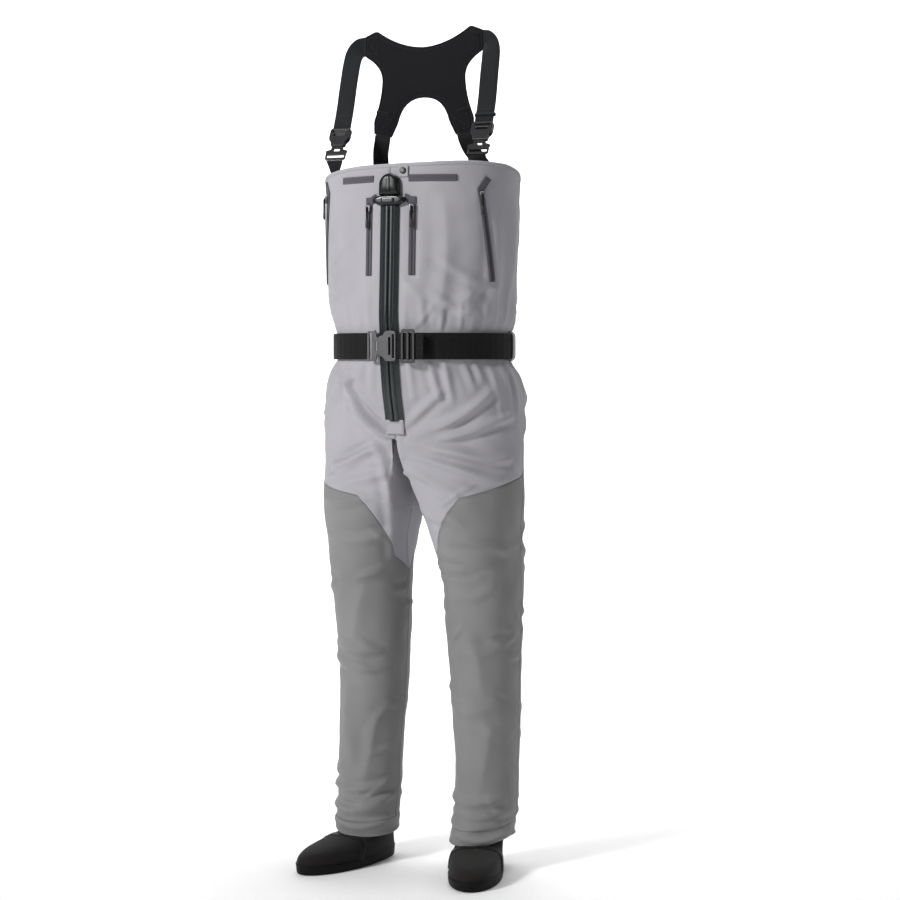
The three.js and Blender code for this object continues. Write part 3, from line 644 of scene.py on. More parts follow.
def garment_folds():
    """Every fold of the cloth: gathers round the belt, drapes, and creases at crotch, knee and ankle."""
    pick = np.random.default_rng(FOLD_SEED)
    folds = []

    def torso(height, width, *spots, **more):
        folds.append(Fold(torso_line(*spots), height, width, **more))

    def leg(side, height, width, *spots, **more):
        folds.append(Fold(leg_line(side, *spots), height, width, side=side, **more))

    # Gathers above and below the belt
    angle = -176.0
    while angle < 180:
        lean = pick.uniform(-3, 3)
        up, down = pick.uniform(28, 95), pick.uniform(40, 115)
        torso(pick.uniform(0.9, 2.0), pick.uniform(4.5, 7.5), (angle, BELT_Z + 25),
              (angle + lean, BELT_Z + 27 + up))
        torso(pick.uniform(1.2, 3.0), pick.uniform(5, 8.5), (angle + 2, BELT_Z - 25),
              (angle + 2 - lean, BELT_Z - 27 - down))
        angle += pick.uniform(7, 13)
    # Long soft drapes of chest and back
    for angle, top, low, height in [
        (31, 1300, 1060, 2.4), (46, 1150, 1050, 2.6), (67, 1250, 1060, 2.6), (84, 1290, 1080, 2.2),
        (-33, 1290, 1070, 2.6), (-48, 1180, 1055, 2.8), (-66, 1300, 1075, 2.4), (-82, 1230, 1060, 2.4),
        (118, 1260, 1060, 2.6), (150, 1220, 1050, 2.4), (-122, 1270, 1060, 2.6), (-152, 1240, 1060, 2.4),
        (176, 1200, 1060, 2.0),
    ]:
        torso(height, pick.uniform(14, 20), (angle, top), (angle + 2, (top + low) / 2), (angle - 1, low),
              hollow=0.5)
    # Slanting creases of the chest, pulled towards the belt
    for start, end, height in [
        ((22, 1120), (58, 1075), 1.8), ((24, 1190), (70, 1120), 1.4), ((-22, 1140), (-55, 1090), 1.8),
        ((-25, 1210), (-72, 1130), 1.5), ((28, 1085), (66, 1150), 1.2), ((-30, 1078), (-70, 1160), 1.3),
        ((110, 1110), (165, 1075), 2.0), ((-112, 1120), (-160, 1080), 2.0),
    ]:
        middle = ((start[0] + end[0]) / 2, (start[1] + end[1]) / 2 - 12)
        torso(height, pick.uniform(7, 11), start, middle, end)
    # Hip and crotch
    torso(4.6, 7.5, (-5, 839), (-14, 862), (-22, 890), (-28, 920), (-32, 946), taper=0.3, hollow=1.5)
    torso(4.0, 8, (-30, 905), (-18, 872), (-8, 845), taper=0.4)
    torso(4.5, 9, (6, 842), (30, 870), (48, 905), (62, 935), taper=0.4)
    torso(4.2, 9, (10, 836), (38, 850), (60, 872), (78, 884), taper=0.4)
    torso(3.2, 8, (4, 860), (16, 895), (30, 935), taper=0.5)
    torso(3.0, 9, (-38, 935), (-52, 900), (-70, 880), taper=0.5)
    torso(2.6, 8, (-12, 900), (-30, 940), (-48, 962), taper=0.5)
    torso(3.0, 12, (95, 930), (120, 900), (160, 850))
    torso(3.0, 12, (-95, 930), (-120, 900), (-160, 850))
    torso(3.5, 12, (100, 870), (140, 856), (176, 842))
    torso(3.5, 12, (-100, 870), (-140, 856), (-176, 842))
    for side in (1, -1):
        leg(side, 3.5, 12, (215, 838), (180, 800), (130, 790))
        leg(side, 2.8, 12, (205, 780), (165, 745), (120, 750))
        leg(side, 3.2, 12, (195, 640), (150, 612), (100, 625))
        leg(side, 3.0, 11, (215, 600), (170, 580), (120, 588))
        leg(side, 2.6, 13, (190, 470), (150, 440), (110, 452))
        leg(side, 2.6, 13, (200, 330), (160, 300), (115, 316))
    # Wearer's left leg
    leg(1, 4.6, 9, (-36, 833), (0, 815), (40, 800), (72, 800), taper=0.4)
    leg(1, 4.0, 9, (-44, 822), (-8, 792), (34, 765), (60, 758), taper=0.4)
    leg(1, 3.2, 8, (-52, 805), (-25, 765), (8, 735), taper=0.5)
    leg(1, 3.4, 9, (-16, 652), (24, 640), (66, 622), taper=0.5)
    leg(1, 3.0, 8, (-40, 622), (-6, 610), (40, 598), taper=0.5)
    leg(1, 2.6, 8, (-62, 598), (-22, 588), (18, 592), taper=0.5)
    leg(1, 2.4, 10, (40, 560), (10, 535), (-40, 540))
    leg(1, 2.2, 14, (-10, 500), (10, 420), (14, 350), hollow=0.4)
    leg(1, 2.4, 12, (60, 450), (20, 425), (-30, 432))
    leg(1, 2.4, 12, (-60, 330), (-10, 312), (45, 325))
    leg(1, 2.4, 14, (30, 300), (20, 230), (12, 170), hollow=0.4)
    leg(1, 2.0, 12, (-35, 250), (-30, 190), (-20, 150), hollow=0.4)
    # Wearer's right leg
    leg(-1, 5.0, 9, (-52, 846 - 10), (-20, 815), (6, 790), (30, 782), taper=0.4)
    leg(-1, 3.4, 9, (-60, 800), (-30, 770), (10, 752), taper=0.5)
    leg(-1, 3.6, 9, (-50, 600), (-44, 680), (-36, 750), (-30, 800), (-24, 836), taper=0.3, hollow=0.9)
    leg(-1, 3.0, 10, (50, 735), (20, 715), (-20, 722))
    leg(-1, 2.6, 10, (-50, 660), (-10, 640), (40, 650))
    leg(-1, 2.4, 12, (50, 600), (10, 572), (-45, 580))
    leg(-1, 3.6, 10, (64, 407), (20, 392), (-60, 384), taper=0.4)
    leg(-1, 2.6, 9, (40, 430), (0, 420), (-40, 424))
    leg(-1, 2.4, 14, (-16, 560), (-4, 500), (2, 440), hollow=0.4)
    leg(-1, 2.4, 14, (20, 360), (16, 270), (8, 190), hollow=0.4)
    leg(-1, 2.2, 12, (-30, 300), (-24, 230), (-14, 160), hollow=0.4)
    # Small creases scattered over the legs and chest
    for side in (1, -1):
        for _ in range(46):
            angle, z, tilt = pick.uniform(-80, 260), pick.uniform(110, 800), pick.uniform(-1, 1)
            reach = pick.uniform(14, 34)
            leg(side, pick.uniform(0.8, 1.9), pick.uniform(4.5, 9), (angle - reach, z - 26 * tilt),
                (angle, z + pick.uniform(-6, 6)), (angle + reach, z + 26 * tilt), taper=0.8)
    for _ in range(26):
        angle, z, tilt = pick.uniform(-170, 170), pick.uniform(850, 1150), pick.uniform(-1, 1)
        reach = pick.uniform(5, 13)
        torso(pick.uniform(0.6, 1.5), pick.uniform(5, 9), (angle - reach, z - 40 * tilt),
              (angle, z + pick.uniform(-8, 8)), (angle + reach, z + 40 * tilt), taper=0.8)
    # Ankles
    ankles = {1: [(140, -10), (116, 14), (92, -6), (72, 20)],
              -1: [(148, 12), (126, -20), (108, 8), (78, -8)]}
    for side, rows in ankles.items():
        for z, shift in rows:
            leg(side, pick.uniform(3.0, 4.6), pick.uniform(6, 9), (-70 + shift, z + 6), (0 + shift, z - 5),
                (70 + shift, z + 7), taper=0.5)
            leg(side, 2.4, 8, (110 - shift, z), (170 - shift, z - 8), (235 - shift, z + 4))
    return folds


class Garment:
    """One half of the cloth shell as a grid of displaced places, with torso rows above leg rows."""

    def __init__(self, side, folds):
        self.side = side
        front = math.degrees(math.atan2(-LEG[-1][1] + INSEAM_X, TORSO[0][2]))
        back = 360 - math.degrees(math.atan2(LEG[-1][1] - INSEAM_X, -TORSO[0][3]))
        inner = np.linspace(-90, front, INNER_COLUMNS + 1)
        outer = np.linspace(front, back, OUTER_COLUMNS + 1)
        seam_at = np.abs(self.torso_turn(outer) - SIDE_SEAM).argmin()
        self.first, self.last = INNER_COLUMNS, INNER_COLUMNS + OUTER_COLUMNS
        self.turns = np.concatenate([inner[:-1], outer, np.linspace(back, 270, INNER_COLUMNS + 1)[1:]])
        self.seam = self.first + seam_at
        self.leg_rows = LEG_ROWS
        self.torso_rows = TORSO_ROWS
        edge = np.interp(self.turns, *PANEL_EDGE[side].T)
        upper = np.linspace(0, 1, self.leg_rows[0] + 1)[:, None]
        lower = np.linspace(0, 1, self.leg_rows[1] + 1)[1:, None]
        cuff = np.linspace(0, 1, self.leg_rows[2] + 1)[1:, None]
        self.leg_z = np.vstack([
            CROTCH_Z + (edge - CROTCH_Z) * upper,
            edge + (CUFF_HIGH - edge) * lower,
            np.broadcast_to(CUFF_HIGH + (CUFF_LOW - CUFF_HIGH) * cuff, (len(cuff), len(edge))),
        ])
        outside = np.maximum(np.sin(np.radians(self.turns)), 0)
        sway = -5 * np.cos(np.radians(self.turns + 25)) + 7 * outside ** 2
        self.leg_z = self.leg_z + sway * smoothstep(150 - self.leg_z, 0, 80)
        flare = 0.7 * smoothstep(CUFF_HIGH + 4 - self.leg_z, 0, 8)
        self.leg = on_leg(self.turns[None], self.leg_z, flare, side)
        self.leg_normals = self.normals(self.leg)
        turns = self.turns[self.first:self.last + 1]
        raw = self.torso_turn(turns)
        eased = (raw - raw[0]) / (raw[-1] - raw[0]) * 180
        self.angles = eased
        share = np.linspace(0, 1, self.torso_rows + 1)[:, None]
        rim = rim_height(side * eased)[None]
        z = rim + (CROTCH_Z - rim) * share
        mix = smoothstep(z, CROTCH_Z, CROTCH_Z + 30)
        degrees = raw[None] + (eased - raw)[None] * mix
        self.torso_z = z
        self.torso = on_torso(side * degrees, z)
        self.torso_normals = self.normals(self.torso)
        both = unit((self.torso_normals[-1] + self.leg_normals[0, self.first:self.last + 1]))
        self.torso_normals[-1] = both
        self.leg_normals[0, self.first:self.last + 1] = both
        for column in (0, -1):
            n = self.torso_normals[:, column]
            n[:, 0] = 0
            n[:] = unit(n)
        self.leg_normals[0, self.first] = self.torso_normals[-1, 0]
        self.leg_normals[0, self.last] = self.torso_normals[-1, -1]
        self.lift(folds)

    @staticmethod
    def torso_turn(turns):
        """The torso angle that meets a leg angle at the crotch height, in degrees."""
        ring = on_leg(turns, np.full(len(turns), CROTCH_Z)) / MM
        _, wide, front, back = TORSO[0]
        depth = np.where(ring[:, 1] < BODY_Y, front, back)
        return np.degrees(np.arctan2(ring[:, 0] / wide, -(ring[:, 1] - BODY_Y) / depth))

    def normals(self, grid):
        down = np.gradient(grid, axis=0)
        across = np.gradient(grid, axis=1)
        if grid.shape[1] == len(self.turns):
            joined = (grid[:, 1] - grid[:, -2])
            across[:, 0] = across[:, -1] = joined / 2
        n = np.cross(across, -down) * self.side
        return unit(n)

    def calm(self, points, degrees):
        """How freely the cloth may move: nothing under zips, belt, tapes and rim."""
        x, z = np.abs(points[:, 0]) / MM, points[:, 2] / MM
        front = points[:, 1] < BODY_Y * MM
        free = np.ones(len(points))
        zip_wall = np.where(front & (z > 866), smoothstep(x, 19, 34), 1)
        below = front & (z > 838) & (z <= 866)
        zip_wall = np.where(below, np.maximum(smoothstep(x, 2, 20), 0.45), zip_wall)
        free *= zip_wall
        chest = front & (z > 1136) & (z < 1294)
        free *= np.where(chest, smoothstep(np.abs(x - 44), 6, 15), 1)
        middle = np.interp(z, [1135, 1310], [64.8, 52.9])
        near_side = (z > 1125) & (z < 1322)
        free *= np.where(near_side, smoothstep(np.abs(np.abs(degrees) - middle), 2.5, 6), 1)
        belt = np.abs(z - BELT_Z)
        free *= smoothstep(belt, 24, 33)
        rim = rim_height(degrees)
        free *= np.where(z > 1200, smoothstep(rim - z, 6, 60), 1)
        return free

    def lift(self, folds):
        for name in ("torso", "leg"):
            grid, normals = getattr(self, name), getattr(self, name + "_normals")
            points, n = grid.reshape(-1, 3), normals.reshape(-1, 3)
            height = np.zeros(len(points))
            for fold in folds:
                height += fold.lift(points, n)
            height += 0.0034 * noise_field(points, 9.0, 1.0) + 0.0016 * noise_field(points, 27.0, 2.0)
            if name == "torso":
                degrees = np.broadcast_to(self.side * self.angles[None], grid.shape[:2]).ravel()
                height *= self.calm(points, degrees)
            else:
                z = points[:, 2] / MM
                inside = 1 - 0.999 * smoothstep(z, 690, 800) * (np.abs(points[:, 0]) < 0.012)
                height *= inside
                height = np.clip(height, -LEG_SINK, LEG_RISE)
            height = np.clip(height, -SINK, RISE)
            if name == "leg" and self.side < 0:
                turn = np.broadcast_to((self.turns[None] + 180) % 360 - 180, grid.shape[:2]).ravel()
                edge = np.interp(points[:, 2] / MM, [600, 836], [50, 27])
                tuck = smoothstep(-turn, edge, edge + 20) * smoothstep(points[:, 2] / MM, 560, 660)
                height = height * (1 - 0.6 * tuck) - INNER_TUCK * MM * tuck * smoothstep(turn, -135, -100)
            moved = points + n * height[:, None]
            setattr(self, name, moved.reshape(grid.shape))
        limit = self.side * self.leg[..., 0]
        walls = self.leg_z > 700
        self.leg[..., 0] = self.side * np.where(walls, np.maximum(limit, INSEAM_X * MM * 0.8), limit)
        self.torso[-1] = self.leg[0, self.first:self.last + 1]
        self.torso[:, (0, -1), 0] = 0.0
        self.torso[-1, (0, -1), 0] = self.side * INSEAM_X * MM
        self.torso_normals = self.normals(self.torso)
        self.leg_normals = self.normals(self.leg)

    def girth(self):
        """Distance round the cloth at every column, as on a tube of 100 mm radius."""
        return np.concatenate([[0], np.cumsum(np.radians(np.diff(self.turns)) * 0.1)])

    def leg_uv(self):
        return np.stack(np.broadcast_arrays(self.girth()[None], self.leg_z * MM), -1)

    def torso_uv(self):
        girth = self.girth()[None, self.first:self.last + 1]
        return np.stack(np.broadcast_arrays(girth, self.torso_z * MM), -1)

    def piece(self, torso_columns=None, leg_columns=None, leg_rows=None):
        """Vertices, faces and cloth map of a cut: column ranges count whole leg columns."""
        vertices, faces, uvs, start = [], [], [], 0
        for grid, uv, rows, columns in (
            (self.torso, self.torso_uv(), (0, self.torso_rows), torso_columns and
             (torso_columns[0] - self.first, torso_columns[1] - self.first)),
            (self.leg, self.leg_uv(), leg_rows, leg_columns),
        ):
            if columns is None or rows is None:
                continue
            cut = grid[rows[0]:rows[1] + 1, columns[0]:columns[1] + 1]
            vertices.append(cut.reshape(-1, 3))
            uvs.append(uv[rows[0]:rows[1] + 1, columns[0]:columns[1] + 1].reshape(-1, 2))
            quads = grid_faces(cut.shape[0], cut.shape[1]) + start
            faces.append(quads if self.side < 0 else quads[:, ::-1])
            start += cut.shape[0] * cut.shape[1]
        return np.vstack(vertices), np.vstack(faces), np.vstack(uvs)


def garments():
    if "cloth" not in FINISH:
        folds = garment_folds()
        FINISH["cloth"] = {name: Garment(side, folds) for name, side in SIDES.items()}
    return FINISH["cloth"]


def cloth_piece(name, cuts, material, lining, slot, nodes, thick=1.7):
    """One cut of the shell, or a left and a right cut sewn together, as cloth of real thickness."""
    vertices, faces, uvs, start = [], [], [], 0
    for v, f, uv in cuts:
        vertices.append(v)
        faces.append(f + start)
        uvs.append(uv)
        start += len(v)
    obj = make_object(name, np.vstack(vertices), np.vstack(faces), material, np.vstack(uvs))
    shape = bmesh.new()
    shape.from_mesh(obj.data)
    bmesh.ops.remove_doubles(shape, verts=shape.verts, dist=1.2e-4)
    shape.to_mesh(obj.data)
    shape.free()
    obj.data.materials.append(lining)
    wall = obj.modifiers.new("wall", "SOLIDIFY")
    wall.thickness, wall.offset, wall.material_offset = thick * MM, -1.0, 1
    wall.use_even_offset = False
    return finish(obj, ROOT, slot, *nodes)


def surface_frame(places, normals):
    """Places with the directions across a line on the cloth and out of it."""
    tangent = tangents(places)
    across = unit(np.cross(tangent, normals))
    return places, across, np.cross(across, tangent)


def strip(name, places, normals, width, thick, material, slot, sink=0.3):
    """Tape laid on the cloth along places with the given outward normals; returns its frame."""
    places, across, out = surface_frame(np.asarray(places, float), np.asarray(normals, float))
    centre_line = places + out * (thick / 2 - sink) * MM
    obj = sweep(name, (centre_line, across, out), webbing_section(width, thick), material)
    finish(obj, ROOT, slot)
    return places, across, out


def offset_path(frame_of, across_mm, out_mm):
    places, across, out = frame_of
    return places + across * across_mm * MM + out * out_mm * MM


# ------------------------------------------------------------------ settings
class WadersColours(bpy.types.PropertyGroup):
    """Base colours of the cloths and mouldings."""

    def colour(name, text, value):
        return bpy.props.FloatVectorProperty(name=name, description=text, default=value, subtype="COLOR",
                                             size=3, min=0, max=1)

    light: colour("Light laminate", "Upper body and thighs", (0.365, 0.357, 0.382))
    dark: colour("Dark laminate", "Shins, calves and cuffs", (0.215, 0.213, 0.213))
    trim: colour("Tape", "Pocket and hem tapes", (0.085, 0.08, 0.095))
    webbing: colour("Webbing", "Belt, loops and back straps", (0.006, 0.006, 0.0065))
    elastic: colour("Elastic", "Front straps", (0.0052, 0.0066, 0.0082))
    neoprene: colour("Neoprene", "Shoulder yoke", (0.0062, 0.0059, 0.0078))
    sock: colour("Bootie", "Neoprene booties", (0.0105, 0.0092, 0.0088))


class WadersSizes(bpy.types.PropertyGroup):
    """Sizes of the sewn details that the moulded model doesn't fix."""

    def size(name, text, value):
        return bpy.props.FloatProperty(name=name, description=text, default=value * MM, min=0,
                                       unit="LENGTH")

    cloth: size("Cloth", "Thickness of the shell cloth", 1.7)
    stitch: size("Stitch", "Length from one stitch to the next", 3.4)
    binding: size("Binding", "Width of the yoke's bound edge", 6)
    cord: size("Pull cord", "Thickness of a zip pull's cord", 2.1)


def sizes():
    return bpy.context.scene.waders_sizes


# ------------------------------------------------------------------ paths on the body
def torso_frame(angle_at, heights, off=0.0):
    """Places, across and out directions down a line on the torso."""
    z = np.asarray(heights, float)
    degrees = np.array([angle_at(h) for h in z])
    place = on_torso(degrees, z, off)
    side = on_torso(degrees + 1, z, off) - on_torso(degrees - 1, z, off)
    side[:, 2] = 0
    side = unit(side)
    tangent = tangents(place)
    side -= tangent * (side * tangent).sum(1)[:, None]
    side = unit(side)
    return place, side, np.cross(side, tangent) * np.sign(tangent[0, 2])


def ring_frame(degrees, z, off):
    """Places, up and out directions round the torso at one height or many."""
    degrees = np.asarray(degrees, float)
    z = np.broadcast_to(z, degrees.shape)
    place = on_torso(degrees, z, off)
    tangent = tangents(place)
    up = np.broadcast_to([0.0, 0, 1], place.shape)
    up = unit(up - tangent * (up * tangent).sum(1)[:, None])
    return place, up, np.cross(tangent, up)


def level_frame(places):
    """A path with straight up across it and the front out of it."""
    return places, np.broadcast_to([0.0, 0, 1], places.shape), np.broadcast_to([0.0, -1, 0], places.shape)


def ribbon_frame(rows, steps):
    """A strap's centre line and width direction, through rows of place and width direction."""
    marks = np.array([placed(*r[0]) for r in rows])
    places = curve_through(marks, steps)
    turns = np.array([r[1] for r in rows], float)
    run = np.linspace(0, lengths(marks)[-1], len(places))
    widths = resampled(run, lengths(marks), turns)
    tangent = tangents(places)
    across = unit(widths - tangent * (widths * tangent).sum(1)[:, None])
    return places, across, np.cross(across, tangent)


def ribbon(name, frame_of, width, thick, material, body, slot, *nodes, bulge=0.1):
    """Tape or webbing along a path, on a body and in place of nodes; slot is not used."""
    return finish(sweep(name, frame_of, webbing_section(width, thick, bulge), material), body, slot, *nodes)


def box_stitch(frame_of, at, long, half, lift):
    """The four sides and the cross of a stitched box on a strap, between two lengths along it."""
    run = lengths(frame_of[0]) / MM

    def spot(length, side):
        i, a, o = (resampled(length, run, rows) for rows in frame_of)
        return i + (a * side + o * lift) * MM

    ends = [(at, -half), (at, half), (at + long, half), (at + long, -half)]
    lines = [(ends[i], ends[(i + 1) % 4]) for i in range(4)] + [(ends[0], ends[2]), (ends[1], ends[3])]
    return [np.array([spot(*(np.array(a) + (np.array(b) - np.array(a)) * s)) for s in np.linspace(0, 1, 8)])
            for a, b in lines]


def dome(name, outline, place, across, up, out, thick, material, crown=0.55, rings=7):
    """A moulded cushion on an outline of (across, up) spots, rounded over to its crown."""
    outline = np.asarray(outline, float)
    middle = outline.mean(0)
    turn = np.linspace(0, math.pi / 2, rings)
    shells = [(1.0, 0.0), (1.0, 0.35)]
    shells += [(1 - crown * (1 - math.cos(t)), 0.35 + 0.65 * math.sin(t)) for t in turn[1:]]
    shells += [((1 - crown) * s, 1.0) for s in (0.6, 0.25)]
    vertices = []
    for scale, height in shells:
        flat = middle + (outline - middle) * scale
        vertices += [place + (across * x + up * y + out * height * thick) * MM for x, y in flat]
    rings = np.array(vertices).reshape(len(shells), len(outline), 3)
    return capped(name, rings, material, np.tile(outline, (len(shells), 1)) * MM)


def round_bar(name, path, thick, material, sides):
    """A round cord or wire along a path."""
    path = np.asarray(path, float)
    tangent = tangents(path)
    guide = np.array([0.35, 0.9, 0.24])
    across = unit(np.cross(tangent, guide))
    out = np.cross(across, tangent)
    angle = np.linspace(0, 2 * math.pi, sides, endpoint=False)
    ring = np.stack([np.cos(angle), np.sin(angle)], 1) * thick / 2 * MM
    return sweep(name, (path, across, out), ring, material)


# ------------------------------------------------------------------ pieces
class Piece(bpy.types.Operator):
    """Shared behaviour of the waders' operators."""

    bl_options = {"REGISTER", "UNDO"}

    def execute(self, context):
        self.make(finishes())
        return {"FINISHED"}


class WADERS_OT_stage(bpy.types.Operator):
    """Camera, pale floor, paper sweep and soft lights."""

    bl_idname = "waders.stage"
    bl_label = "Stage"
    bl_options = {"REGISTER", "UNDO"}

    def execute(self, context):
        scene = context.scene
        turn = math.radians(24)
        far = 4.2
        data = bpy.data.cameras.new("camera")
        camera = bpy.data.objects.new("camera", data)
        scene.collection.objects.link(camera)
        camera.location = (far * math.sin(turn), BODY_Y * MM - far * math.cos(turn), 0.985)
        camera.rotation_euler = (math.radians(90 - 2.35), 0, turn - math.radians(0.72))
        data.lens, data.sensor_width = 86.2, 36
        scene.camera = camera
        material, tree, shader = nodes_of("floor", (0.93, 0.93, 0.935), 0.7)
        where = tree.nodes.new("ShaderNodeTexCoord").outputs["Object"]
        stops = [(0.3, (0.925, 0.925, 0.93)), (0.7, (0.94, 0.94, 0.945))]
        tree.links.new(ramp(tree, noise(tree, where, 2.0), stops), shader.inputs["Base Color"])
        profile = [(-7.0, 0.0)] + [(2.4 + 1.6 * math.sin(a), 1.6 - 1.6 * math.cos(a))
                                   for a in np.linspace(0, math.pi / 2, 14)] + [(4.0, 7.0)]
        c, s = math.cos(turn), math.sin(turn)
        vertices = [(x * c - y * s, x * s + y * c, z - 0.0005) for y, z in profile for x in (-8, 8)]
        faces = [(2 * i, 2 * i + 1, 2 * i + 3, 2 * i + 2) for i in range(len(profile) - 1)]
        floor = make_object("floor", vertices, faces, material)
        world = bpy.data.worlds.new("studio")
        world.use_nodes = True
        world.node_tree.nodes["Background"].inputs["Color"].default_value = (1, 1, 1, 1)
        world.node_tree.nodes["Background"].inputs["Strength"].default_value = 0.1
        scene.world = world
        aim = Vector((0, BODY_Y * MM, 0.85))
        for name, place, wide, power in [
            ("key light", (-1.7, -3.3, 2.5), 0.9, 146), ("fill light", (3.6, -0.8, 1.5), 1.8, 13),
            ("top light", (0.3, 0.4, 4.0), 1.4, 44), ("back light", (2.4, 2.2, 2.2), 1.4, 12),
        ]:
            self.lamp(scene, name, place, wide, power, aim - Vector(place))
        self.lamp(scene, "backdrop light", (-0.45, 1.1, 3.6), 3.0, 190, Vector((-0.45, 1.6, -0.75)))
        scene.view_settings.view_transform = "Standard"
        return {"FINISHED"}

    @staticmethod
    def lamp(scene, name, place, wide, power, towards):
        lamp = bpy.data.lights.new(name, "AREA")
        lamp.shape, lamp.size, lamp.energy = "DISK", wide, power
        light = bpy.data.objects.new(name, lamp)
        scene.collection.objects.link(light)
        light.location = place
        light.rotation_euler = towards.to_track_quat("-Z", "Y").to_euler()


class WADERS_OT_shell(Piece):
    """The sewn shell: light body and thighs, dark shins and calves, cuffs."""

    bl_idname = "waders.shell"
    bl_label = "Shell"

    def make(self, fin):
        cloth = garments()
        thick = sizes().cloth / MM
        light = ("shell_light", fin.light, fin.lining)
        dark = ("shell_dark", fin.dark, fin.lining)

        def cut(name, parts, kind, nodes):
            cloth_piece(name, parts, kind[1], kind[2], kind[0], nodes, thick)

        for name, g in cloth.items():
            top, low, hem = 0, g.leg_rows[0], g.leg_rows[0] + g.leg_rows[1]
            end = hem + g.leg_rows[2]
            last = len(g.turns) - 1
            front = g.piece((g.first, g.seam), (0, g.seam), (top, low))
            cut(f"{name} front", [front], light, [f"bib_{name}_front", f"{name}_thigh_front"])
            cut(f"{name} shin", [g.piece(None, (0, g.seam), (low, hem))], dark, [f"{name}_shin_panel"])
            cut(f"{name} calf", [g.piece(None, (g.seam, last), (low, hem))], dark, [f"{name}_calf_panel"])
            cut(f"{name} cuff", [g.piece(None, (0, last), (hem, end))], dark, [f"{name}_gravel_cuff"])
        back = [g.piece((g.seam, g.last), (g.seam, len(g.turns) - 1), (0, g.leg_rows[0]))
                for g in cloth.values()]
        cut("back", back, light, ["bib_back", "left_thigh_back", "right_thigh_back"])


class WADERS_OT_seams(Piece):
    """Crotch gusset, seam tapes, rim binding and rows of stitches."""

    bl_idname = "waders.seams"
    bl_label = "Seams"

    def make(self, fin):
        cloth = garments()
        light_lines, dark_lines = [], []
        both = [cloth["left"], cloth["right"]]
        # Rim binding round the whole top edge
        rim = np.vstack([both[0].torso[0], both[1].torso[0][::-1][1:-1]])
        rim_normals = np.vstack([both[0].torso_normals[0], both[1].torso_normals[0][::-1][1:-1]])
        tangent = unit(np.roll(rim, -1, 0) - np.roll(rim, 1, 0))
        up = np.cross(tangent, rim_normals)
        up *= np.sign(up[:, 2])[:, None]
        turn = np.linspace(0, 2 * math.pi, 16, endpoint=False)
        tall = 4.2 * np.sign(np.sin(turn)) * np.abs(np.sin(turn)) ** 0.8
        ring = np.stack([tall, 1.7 * np.cos(turn)], 1) * MM
        core = rim - up * 2.6 * MM - rim_normals * 0.8 * MM
        binding = sweep("rim binding", (core, up, rim_normals), ring, fin.light, closed_path=True)
        finish(binding, ROOT, "shell_light")
        row = rim - up * 5.4 * MM + rim_normals * 0.85 * MM
        light_lines.append(np.vstack([row, row[:1]]))
        for name, g in cloth.items():
            low, hem = g.leg_rows[0], g.leg_rows[0] + g.leg_rows[1]
            seam = g.seam
            # Side seam of the torso and leg
            side = np.vstack([g.torso[:, seam - g.first], g.leg[1:hem, seam]])
            side_n = np.vstack([g.torso_normals[:, seam - g.first], g.leg_normals[1:hem, seam]])
            frame_of = surface_frame(side[2:], side_n[2:])
            for across in (-2.4, 2.4):
                line = offset_path(frame_of, across, 0.15)
                cut = low + g.torso_rows
                light_lines.append(line[:cut - 2])
                dark_lines.append(line[cut - 2:])
            # Inseam
            inner, inner_n = g.leg[2:hem, 0], g.leg_normals[2:hem, 0]
            below = inner[:, 2] < 0.70
            frame_of = surface_frame(inner[below], inner_n[below])
            for across in (-2.4, 2.4):
                dark_lines.append(offset_path(frame_of, across, 0.15))
            # Edge between light and dark cloth
            edge, edge_n = g.leg[low], g.leg_normals[low]
            frame_of = surface_frame(edge, edge_n)
            places, across, out = frame_of
            down = np.where(across[:, 2:] < 0, 1, -1)
            for gap in (1.4, 3.8):
                dark_lines.append(places + across * down * gap * MM + out * 0.15 * MM)
            # Turned hem of the cuff
            hem_row = g.leg[-1]
            strip(f"{name} hem", hem_row + np.array([0, 0, 0.002]), g.leg_normals[-1], 4.0, 2.2,
                  fin.dark_hem, slot="shell_dark", sink=1.9)
            for row in (-3, hem):
                dark_lines.append(g.leg[row] + g.leg_normals[row] * 0.15 * MM)
        # Gusset seam over the gap between the legs
        y = np.linspace(-TORSO[0][2] + 0.5, TORSO[0][3] - 0.5, 40)
        line = placed(np.zeros(40), y, np.full(40, CROTCH_Z + 0.2))
        bar = round_bar("crotch gusset", line, 3.4, fin.light, 12)
        finish(bar, ROOT, "shell_light", "crotch_gusset")
        # Seam of the seat
        places, normals = both[0].torso[:, -1], both[0].torso_normals[:, -1]
        keep = (places[:, 2] < SEAT_SEAM_TOP * MM) & (places[:, 2] > (CROTCH_Z + 1) * MM)
        frame_of = strip("seat seam", places[keep], normals[keep], 2.4, 1.3, fin.seam, slot="shell_light")
        for across in (-3.2, 3.2):
            light_lines.append(offset_path(frame_of, across, 0.15))
        pitch = sizes().stitch / MM
        stitches("light stitches", light_lines, fin.thread, pitch=pitch)
        stitches("dark stitches", dark_lines, fin.grey_thread, slot="shell_dark", pitch=pitch)


